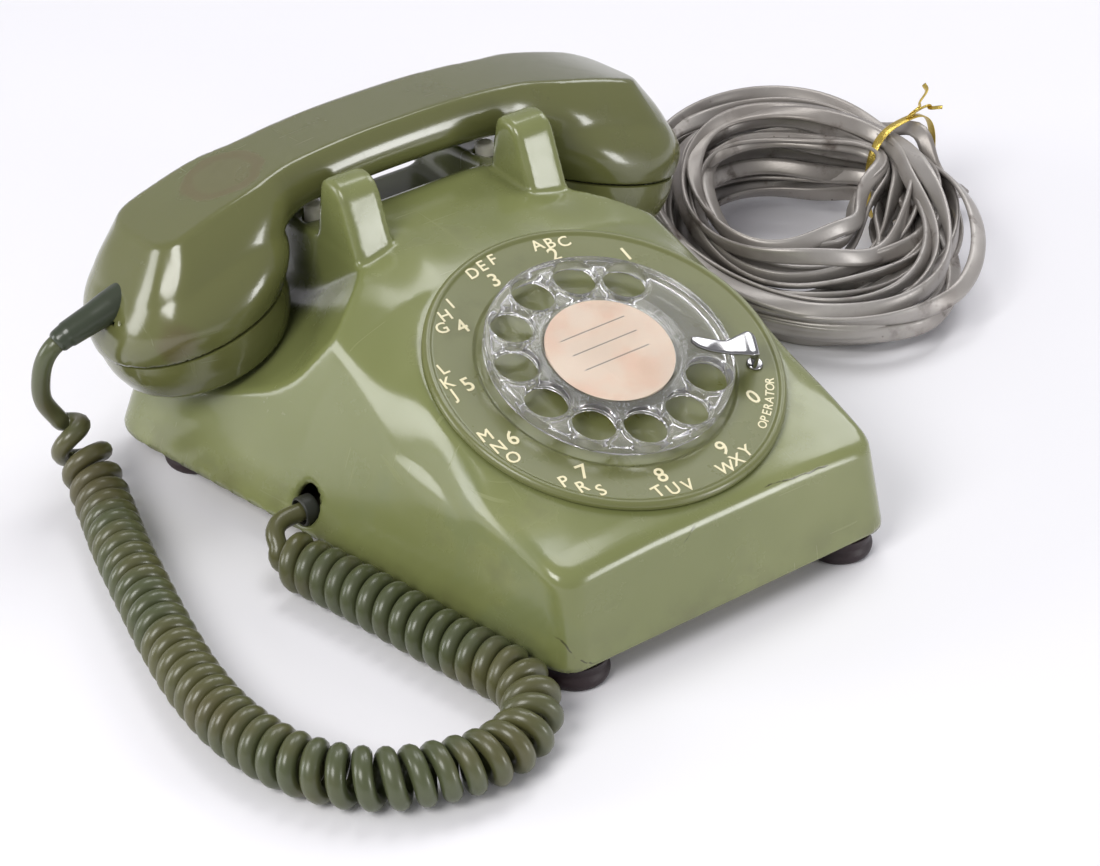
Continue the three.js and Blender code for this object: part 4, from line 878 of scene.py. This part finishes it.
def bundle_path():
    """The stored part of the line cord: long flat turns, drawn together where the tie holds them."""
    rng = np.random.default_rng(11)
    spots = np.array([(i / 4.0 + 0.09 * (row % 2), row / 5.0) for row in range(6) for i in range(5)][:TURNS])
    order = np.argsort([r * 2.0 + rng.random() * 3.2 for _, r in spots])
    spots = spots[order] + rng.normal(0, 0.035, (TURNS, 2))
    count = 90 * TURNS
    theta = np.linspace(0, 2 * math.pi * TURNS, count) + math.radians(140)
    index = np.clip(np.arange(count) / 90.0, 0, TURNS - 1.001)
    low, part = index.astype(int), step01((index % 1 - 0.2) / 0.6)
    spots = np.vstack([spots, spots[-1:]])
    slot_r = spots[low, 0] * (1 - part) + spots[low + 1, 0] * part
    slot_z = spots[low, 1] * (1 - part) + spots[low + 1, 1] * part
    phase = rng.random((TURNS + 1, 6)) * 2 * math.pi
    drift = lambda k: phase[low, k] * (1 - part) + phase[low + 1, k] * part
    away = 0.5 - 0.5 * np.cos(theta - TIE_ANGLE)
    near = step01(0.5 - 0.62 * np.sin(theta + 0.5))
    local = past_tie(theta)
    tight = 1 - 0.62 * np.exp(-((np.abs(local) / 0.42) ** 2))
    middle = 41.0 - 6.5 * np.cos(theta + 0.7) + 9 * (1 - tight)
    radius = middle + (slot_r - 0.5) * (32 + 13 * np.cos(theta + 0.9)) * tight
    radius += away * (3.4 * np.sin(theta + drift(4)) + 3.0 * np.sin(2 * theta + drift(0))
                      + 1.6 * np.sin(3 * theta + drift(1)))
    radius = np.minimum(radius, 57 + 3 * near)
    height = 3.6 + slot_z * (17 + 14 * (1 - near)) * (0.62 + 0.38 * tight) + 5.0 * (1 - away)
    height += 3.0 * (1 - near)
    height += away * 2.4 * np.sin(2 * theta + drift(2)) * slot_z + 1.4 * np.sin(3 * theta + drift(3)) * slot_z
    x = BUNDLE_X + radius * np.cos(theta) * (1 - 0.1 * away)
    y = BUNDLE_Y + radius * np.sin(theta) * BUNDLE_STRETCH
    height = height - np.maximum(height - 25, 0) * step01((114 - x) / 12)
    # one turn swings out to the right, another stands up beside the tie
    lap = np.floor((theta - TIE_ANGLE + math.pi) / (2 * math.pi))
    swing = np.exp(-((local - 0.12) / 0.36) ** 2) * (lap == 9)
    x, y, height = x + 36 * swing, y - 12 * swing, height * (1 - 0.5 * swing)
    stand = np.exp(-((local - 0.02) / 0.2) ** 2) * (lap == 17)
    x, y, height = x + 2 * stand, y - 6 * stand, height + 13 * stand
    return np.stack([x, y, np.maximum(height, 3.0)], 1)


plug_low, plug_high = (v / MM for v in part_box("line_plug"))


def line_path():
    """The line cord's middle line, from inside the casing through the bundle to the plug."""
    bundle = bundle_path()
    plug_x, plug_y = plug_low.x - 0.8, (plug_low.y + plug_high.y) / 2
    lead = smooth_path(LINE_ROUTE, 2.0)
    bridge = smooth_path([lead[-6], lead[-3], bundle[8], bundle[12]], 2.0)
    tail = smooth_path([
        bundle[-12], bundle[-6], (plug_x - 22, plug_y - 1, 13), (plug_x - 8, plug_y + 1.2, 6.0),
        (plug_x, plug_y, 4.2),
    ], 2.0)
    whole = np.vstack([lead[:-4], bridge[2:-2], bundle[13:-13], tail[1:]])
    return evenly(softened(evenly(whole, 2.5), 3), 3.0)


line = line_path()
run_line = np.arange(len(line)) * 3.0
lean = 0.75 * np.sin(run_line / 71.0) + 0.55 * np.sin(run_line / 43.0 + 1.3)
lean += 0.35 * np.sin(run_line / 19.0 + 0.4) + 0.15
inner_share = step01(np.minimum(run_line, run_line[-1] - run_line) / 30.0)
lean = lean * inner_share + 1.5 * (1 - inner_share)
line_along = unit(np.gradient(line, axis=0))
level = unit(np.cross(line_along, (0, 0, 1.0)))
upright = np.cross(level, line_along)
wide_axis = upright * np.cos(lean)[:, None] + level * np.sin(lean)[:, None]
line_cord = piece("line_cord", *swept(line, flat_section(LINE_WIDTH, LINE_THICK), wide_axis), line_finish)
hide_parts("line_cord_tail", "line_cord_bundle")
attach(line_cord, "root")


def node_middle(name):
    low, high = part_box(name)
    return (low + high) / 2 / MM


def stands_for(obj, body, slot, *nodes):
    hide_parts(*nodes)
    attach(obj, body)
    return obj


# ---------- casing and handset ----------
casing_step, handset_step = ((1.5, 1.15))
shell_points, shell_faces = moulded(casing, (-106, -110, 4), (106, 106, 104), casing_step)
housing = piece("housing", shell_points, shell_faces, casing_finish)
stands_for(housing, "root", "casing", "housing_shell")

grip_points, grip_faces = moulded(handset_field, (-113, -37, -13), (113, 37, 49), handset_step)
handset = piece("handset_body", grip_points, grip_faces, handset_finish, HANDSET_PLACE)
stands_for(handset, "handset", "handset", "handset_shell")


def ring_of_holes_tree():
    """Rings of short round cutters, for the holes in a cap's face."""
    tree = bpy.data.node_groups.new("ring_of_holes", "GeometryNodeTree")
    for label, kind, value in (
        ("Hole Radius", "NodeSocketFloat", 0.0011), ("Ring Radius", "NodeSocketFloat", 0.006),
        ("Depth", "NodeSocketFloat", 0.006), ("Holes", "NodeSocketInt", 6),
    ):
        tree.interface.new_socket(name=label, in_out="INPUT", socket_type=kind).default_value = value
    tree.interface.new_socket(name="Material", in_out="INPUT", socket_type="NodeSocketMaterial")
    tree.interface.new_socket(name="Geometry", in_out="OUTPUT", socket_type="NodeSocketGeometry")
    given, out, ring, cutter, spread, real, paint = (tree.nodes.new(kind) for kind in (
        "NodeGroupInput", "NodeGroupOutput", "GeometryNodeMeshCircle", "GeometryNodeMeshCylinder",
        "GeometryNodeInstanceOnPoints", "GeometryNodeRealizeInstances", "GeometryNodeSetMaterial",
    ))
    cutter.inputs["Vertices"].default_value = 20
    for source, output, target, socket in (
        (given, "Holes", ring, "Vertices"), (given, "Ring Radius", ring, "Radius"),
        (given, "Hole Radius", cutter, "Radius"), (given, "Depth", cutter, "Depth"),
        (ring, "Mesh", spread, "Points"), (cutter, "Mesh", spread, "Instance"),
        (spread, "Instances", real, "Geometry"), (real, "Geometry", paint, "Geometry"),
        (given, "Material", paint, "Material"), (paint, "Geometry", out, "Geometry"),
    ):
        tree.links.new(source.outputs[output], target.inputs[socket])
    return tree


HOLES_TREE = ring_of_holes_tree()


def from_tree(name, tree, place, **sizes):
    """The mesh that a tree makes with these sizes, in place."""
    seed = new_object(name + "_seed", bpy.data.meshes.new(name + "_seed"))
    grow = seed.modifiers.new("grow", "NODES")
    grow.node_group = tree
    for item in tree.interface.items_tree:
        if item.in_out == "INPUT" and item.name in sizes:
            grow[item.identifier] = sizes[item.name]
    mesh = evaluated_mesh(seed)
    bpy.data.objects.remove(seed)
    metres = Matrix(place)
    metres.translation = metres.translation * MM
    mesh.transform(metres)
    mesh.name = name
    return new_object(name, mesh)


def cut_with(obj, cutters):
    """Each cutter taken out of the object's mesh, and then removed."""
    for cutter in cutters:
        saw = obj.modifiers.new("saw", "BOOLEAN")
        saw.operation, saw.solver, saw.object = "DIFFERENCE", "EXACT", cutter
        mesh = evaluated_mesh(obj)
        obj.modifiers.clear()
        old, obj.data = obj.data, mesh
        mesh.name = obj.name
        bpy.data.meshes.remove(old)
        bpy.data.objects.remove(cutter)
    obj.data.set_sharp_from_angle(angle=math.radians(38))


def make_cap(name, side, node):
    """A screw-on cap with two rings of holes in its face."""
    r, low = CAP_RADIUS + 0.3, -CAP_DEPTH - 2.0
    outer = rounded([
        (0, low + 1.2), (r - 11, low), (r - 3.4, low + 1.0), (r - 0.5, low + 8.5), (r, -4), (r, -0.35),
    ], 3.2, 6)
    inner = rounded([
        (r - 0.6, -0.05), (r - 2.4, -0.05), (r - 2.4, -5), (r - 6.5, low + 4.6), (0, low + 3.6),
    ], 1.5, 3)
    cap = piece(name, *turned(outer + inner, 128, cap_place(side)), handset_finish)
    place = cap_place(side) @ Matrix.Translation((0, 0, low + 2))
    cutters = [
        from_tree(f"{name}_cutter_{i}", HOLES_TREE, place, **{
            "Hole Radius": 0.0012, "Ring Radius": ring * MM, "Depth": 0.009, "Holes": holes,
            "Material": handset_finish})
        for i, (ring, holes) in enumerate(((6.0, 6), (11.5, 12)))
    ]
    cut_with(cap, cutters)
    stands_for(cap, "handset", "handset", node)


make_cap("mouthpiece_cap", -1, "transmitter_cap")
make_cap("earpiece_cap", 1, "receiver_cap")

# ---------- dial ----------
plate_profile = rounded([
    (3.4, 1.3), (3.4, 0.3), (54.6, 0.3), (PLATE_RADIUS, 0.6), (PLATE_RADIUS, 2.0), (54.6, RIM_TOP),
    (53.4, RIM_TOP), (52.6, 2.35), (40.4, PLATE_TOP), (39.4, 1.5), (34, 1.3), (3.4, 1.3),
], 0.5, 3)
number_plate = piece("number_plate_dish", *ring_turned(plate_profile[:-1], 192), plate_finish, DIAL_PLACE,
                     crease_deg=50)
stands_for(number_plate, "root", "number_plate", "number_plate")

wheel_points, wheel_faces = moulded(wheel_field, (-40, -40, 2.5), (40, 40, 11), 0.62)
finger_wheel = piece("clear_finger_wheel", wheel_points, wheel_faces, clear_plastic, DIAL_PLACE)
stands_for(finger_wheel, "dial_rotor", "clear", "finger_wheel")

card_low = WHEEL_TOP - 0.9
card_outline = [(0, card_low), (19.8, card_low), (19.8, card_low + 0.3), (0, card_low + 0.3)]
card = piece("blank_number_card", *turned(card_outline, 96), card_finish, DIAL_PLACE, crease_deg=40)
stands_for(card, "dial_rotor", "card", "number_card")
cover_outline = rounded([
    (0, card_low + 0.55), (20.5, card_low + 0.55), (20.5, WHEEL_TOP + 0.1), (19.8, WHEEL_TOP + 0.5),
    (0, WHEEL_TOP + 0.6),
], 0.4, 3)
cover = piece("card_window", *turned(cover_outline, 128), clear_card_plastic, DIAL_PLACE, crease_deg=45)
stands_for(cover, "dial_rotor", "clear", "card_cover")


def dial_letters():
    """The figures and letters of the dial, as one thin raised mesh."""
    glyphs = []
    for i, figure in enumerate("1234567890"):
        radius = {0: 47.2, 1: 45.4, 9: 45.0}.get(i, 44.4)
        glyphs.append((figure, radius, 45 + 30 * i + (1.4 if i in (0, 9) else 0), 5.4))
    for i, letters in enumerate(("ABC", "DEF", "GHI", "LKJ", "MNO", "PRS", "TUV", "WXY")):
        start = (79.6, 108.2, 138.2, 156.8, 188.4, 219.6, 251.4, 279.0)[i]
        step = (-5.1, -5.1, -6.2, 6.2, 6.2, 6.2, 5.6, 5.6)[i]
        for k, letter in enumerate(letters):
            glyphs.append((letter, 50.7 if i == 1 else 50.1, start + step * k, 4.3))
    for k, letter in enumerate("OPERATOR"):
        glyphs.append((letter, 49.9, -55.6 + 3.05 * k, 2.9))
    parts = []
    for k, (text, radius, degrees, size) in enumerate(glyphs):
        curve = bpy.data.curves.new("glyph", "FONT")
        curve.body, curve.size = text, size * 1.36
        curve.align_x, curve.align_y = "CENTER", "CENTER"
        curve.bevel_depth, curve.extrude, curve.resolution_u = 0.016 * size, 0.03, 3
        holder = new_object("glyph", curve)
        mesh = evaluated_mesh(holder)
        co = np.array([v.co for v in mesh.vertices])
        co[:, :2] -= (co[:, :2].max(0) + co[:, :2].min(0)) / 2
        a = math.radians(degrees)
        turn = a + math.radians(90) if size < 3 else 0.06 * math.sin(5.0 * k)
        c, s = math.cos(turn), math.sin(turn)
        flat = np.stack([co[:, 0] * c - co[:, 1] * s, co[:, 0] * s + co[:, 1] * c], 1)
        spot = flat + (radius * math.cos(a), radius * math.sin(a))
        high = 2.27 + 0.15 * (np.hypot(*spot.T) - 40.4) / 12.2
        parts.append((np.column_stack([spot, high + co[:, 2]]), [tuple(f.vertices) for f in mesh.polygons]))
        bpy.data.objects.remove(holder)
        bpy.data.meshes.remove(mesh)
        bpy.data.curves.remove(curve)
    return join_parts(parts)


letters = piece("dial_figures", *dial_letters(), letter_finish, DIAL_PLACE, smooth=False)
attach(letters, "root")


def finger_stop():
    """The pressed steel stop: a foot on the plate, an upright and a hook that narrows over the wheel."""
    line = smooth_path([
        (45.3, 0, 2.4), (45.5, 0, 5.0), (45.2, 0, 8.0), (44.4, 0, 10.6), (42.0, 0, 11.4), (38.0, 0, 11.0),
        (34.0, 0, 10.5), (30.0, 0, 10.4), (27.0, 0, 10.8), (24.6, 0, 11.4),
    ], 0.5)
    t = np.linspace(0, 1, len(line))
    half = np.interp(t, [0, 0.22, 0.36, 0.5, 0.62, 0.8, 0.93, 1.0], [2.4, 2.9, 5.0, 3.7, 2.6, 2.5, 2.1, 1.0])
    line[:, 1] += np.interp(t, [0, 0.35, 0.6, 1.0], [0.0, 0.4, -0.9, 1.4])
    across = np.tile((0.0, 1.0, 0.0), (len(line), 1))
    c, s = circle(1.0, 20).T
    outline = np.stack([np.sign(c) * np.abs(c) ** 0.35, 0.62 * np.sign(s) * np.abs(s) ** 0.6], 1)
    points, faces = swept(line, outline, across)
    n = len(line)
    rows = points[: n * 20].reshape(n, 20, 3)
    rows[:, :, 1] = line[:, None, 1] + (rows[:, :, 1] - line[:, None, 1]) * half[:, None]
    points[: n * 20] = rows.reshape(-1, 3)
    foot_outline = rounded([(0, 2.3), (2.6, 2.3), (2.6, 3.0), (2.2, 3.4), (0, 3.4)], 0.4, 3)
    foot = turned(foot_outline, 40, Matrix.Translation((46.0, 0, 0)))
    points, faces = join_parts([(points, faces), foot])
    return moved(points, Matrix.Rotation(math.radians(-27), 4, "Z")), faces


stop = piece("finger_stop_hook", *finger_stop(), chrome_finish, DIAL_PLACE, crease_deg=60)
stands_for(stop, "root", "chrome", "finger_stop")

# ---------- feet, plungers, boot, grommets ----------
FOOT_OUTLINE = rounded([
    (0, 0.7), (6.0, 0.7), (6.6, 0.0), (9.2, 0.0), (10.2, 1.2), (10.5, 3.0), (9.4, 5.0), (10.4, 8.2), (4, 8.2),
    (4, 9.0), (0, 9.0),
], 0.7, 3)
for foot_node in ("foot_front_left", "foot_front_right", "foot_rear_left", "foot_rear_right"):
    middle = node_middle(foot_node)
    place = Matrix.Translation((middle.x, middle.y, 0))
    foot = piece(foot_node + "_pad", *turned(FOOT_OUTLINE, 64), foot_finish, place, crease_deg=50)
    stands_for(foot, "root", "foot", foot_node)

for side_name in ("left", "right"):
    node = "plunger_" + side_name
    low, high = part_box(node)
    middle, z0, z1 = (low + high) / 2 / MM, low.z / MM, high.z / MM
    profile = rounded([
        (0, z0), (3.8, z0), (3.8, z0 + 1.6), (3.2, z0 + 1.7), (3.2, z1 - 1.2), (2.4, z1), (0, z1),
    ], 0.5, 4)
    place = Matrix.Translation((middle.x, middle.y, 0))
    pin = piece(node + "_pin", *turned(profile, 40), plunger_finish, place, crease_deg=50)
    stands_for(pin, side_name + "_plunger", "plunger", node)

BOOT_LINE = [
    (-97.5, 72.4, 66.2), (-103.4, 72.6, 64.2), (-110, 72.9, 62.0), (-116, 73.2, 60.1), (-120.2, 73.45, 58.6),
    (-122.4, 73.6, 57.3),
]
boot_path = smooth_path(BOOT_LINE, 0.6)
boot_share = np.linspace(0, 1, len(boot_path))
boot_size = np.interp(boot_share, [0, 0.24, 0.34, 0.5, 0.84, 0.85, 0.97, 1.0],
                      [5.2, 5.2, 5.0, 4.6, 4.2, 3.9, 3.7, 3.1])
boot = piece("cord_boot", *swept(boot_path, circle(1.0, 32), scale=boot_size), boot_finish, crease_deg=45)
stands_for(boot, "handset", "green_cord", "handset_boot")


def ring_on(name, node, bore, axis):
    """A rubber grommet of 9.4 mm round a cord, with its axis along X or Y."""
    outer, half_long = 4.7, 2.5
    outline = rounded([
        (bore, -half_long), (outer, -half_long), (outer, half_long), (bore, half_long), (bore, -half_long),
    ], 0.7, 3)
    turn = Matrix.Rotation(math.radians(90), 4, "Y" if axis == "X" else "X")
    place = Matrix.Translation(node_middle(node)) @ turn
    ring = piece(name, *ring_turned(outline[1:-1], 48), rubber_finish, place, crease_deg=50)
    stands_for(ring, "root", "black", node)


ring_on("cord_bush", "cord_grommet", CORD_RADIUS + 0.15, "X")
ring_on("line_bush", "line_grommet", 2.75, "Y")

# ---------- tie and plug on the line cord ----------
def tie_parts():
    """A narrow band round the gathered turns, with its two ends twisted together."""
    centre = np.array([BUNDLE_X, BUNDLE_Y, 0.0])
    out = np.array([math.cos(TIE_ANGLE), math.sin(TIE_ANGLE) * BUNDLE_STRETCH, 0.0])
    angle = np.arctan2((line[:, 1] - BUNDLE_Y) / BUNDLE_STRETCH, line[:, 0] - BUNDLE_X)
    here = line[(np.abs(past_tie(angle)) < 0.09) & (line[:, 2] < 36)]
    reach = (here[:, :2] - centre[:2]) @ out[:2] / np.linalg.norm(out[:2])
    keep = reach < 62
    r0, r1 = reach[keep].min() - 3.4, reach[keep].max() + 3.4
    z0, z1 = 0.5, here[keep][:, 2].max() + 3.6
    outward = out / np.linalg.norm(out)
    a = np.linspace(0, 2 * math.pi, 72)
    c, s = np.cos(a), np.sin(a)
    mid_r, mid_z = (r0 + r1) / 2, (z0 + z1) / 2
    loop = centre + outward * (mid_r + (r1 - r0) / 2 * np.sign(c) * np.abs(c) ** 0.7)[:, None]
    loop[:, 2] = mid_z + (z1 - z0) / 2 * np.sign(s) * np.abs(s) ** 0.7
    across = np.tile(np.cross(outward, (0, 0, 1.0)), (len(loop), 1))
    parts = [swept(softened(loop, 2), flat_section(3.4, 0.5, 8), across)]
    knot = centre + outward * (mid_r + 3)
    knot[2] = z1
    for sign in (-1, 1):
        t = np.linspace(0, 1, 40)[:, None]
        tail = knot + t * (outward * 13 + np.array([0, 0, 4.0])) + 0.9 * sign * np.concatenate(
            [np.cos(14 * t), np.sin(14 * t), np.cos(14 * t + 1.5)], 1) * (1 - 0.2 * t)
        tail = tail + sign * t**3 * np.array([1.5, 6.0, 2.0])
        parts.append(swept(tail, flat_section(1.8, 0.5, 8)))
    return join_parts(parts)


tie = piece("cord_tie_band", *tie_parts(), tie_finish)
stands_for(tie, "root", "tie", "cord_tie")


def block(x0, x1, y0, y1, z0, z1, edge=0.5):
    """A small block with rounded upright edges and chamfered rims."""
    def outline(inset):
        points = []
        for cx, cy, a0 in ((x1, y1, 0), (x0, y1, 90), (x0, y0, 180), (x1, y0, 270)):
            for k in range(4):
                a = math.radians(a0 + 30 * k)
                px = cx - math.copysign(edge, cx - (x0 + x1) / 2) + (edge - inset) * math.cos(a)
                py = cy - math.copysign(edge, cy - (y0 + y1) / 2) + (edge - inset) * math.sin(a)
                points.append((px, py))
        return points
    full, small = outline(0), outline(edge * 0.6)
    levels = [(small, z0), (full, z0 + edge * 0.5), (full, z1 - edge * 0.5), (small, z1)]
    points = [(x, y, z) for ring, z in levels for x, y in ring]
    rows = [range(16 * r, 16 * r + 16) for r in range(4)]
    faces = [face for low, high in zip(rows, rows[1:]) for face in band(low, high)]
    return points, faces + [tuple(reversed(rows[0])), tuple(rows[3])]


x0, y0, z0 = plug_low
x1, y1, z1 = plug_high.x - 3, plug_high.y, plug_high.z
mid_y = (y0 + y1) / 2
plug = piece("modular_plug", *join_parts([
    block(x0, x1 - 7, y0, y1, z0, z1 - 0.9),
    block(x1 - 7.2, x1, y0, y1, z0, z1 - 3.0),
    block(x0 + 5, x1 + 2.2, mid_y - 1.6, mid_y + 1.6, z1 - 1.2, z1 - 0.1),
]), clear_card_plastic, crease_deg=40)
stands_for(plug, "root", "clear", "line_plug")
contacts = piece("plug_contacts", *join_parts([
    block(x1 - 6, x1 - 0.6, y - 0.25, y + 0.25, z1 - 3.2, z1 - 2.5, 0.12)
    for y in (mid_y + 1.1 * k for k in (-1.5, -0.5, 0.5, 1.5))
]), brass_finish, crease_deg=40)
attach(contacts, "root")

# ---------- the frame's own pieces ----------
for inner_finish, members in (
    (zinc_finish, "base_plate dial_frame dial_bracket_left dial_bracket_right hook_lever hook_bracket "
                  "ringer_frame"),
    (steel_finish, "housing_screw_front housing_screw_rear dial_spindle dial_bridge dial_post_1 dial_post_2 "
                   "dial_post_3 pulse_shaft governor_cup gong_screw_left gong_screw_right clapper"),
    (brass_finish, "main_gear pulse_pinion governor_weights terminal_strip gong_left gong_right"),
    (bakelite_finish, "pulse_cam pulse_contacts hook_contacts network_block transmitter_capsule "
                      "receiver_capsule transmitter_cup"),
    (wheel_knob_finish, "volume_wheel"),
    (copper_finish, "ringer_coil"),
):
    for member in members.split():
        data = NODES[member].data
        data.materials.clear()
        data.materials.append(inner_finish)
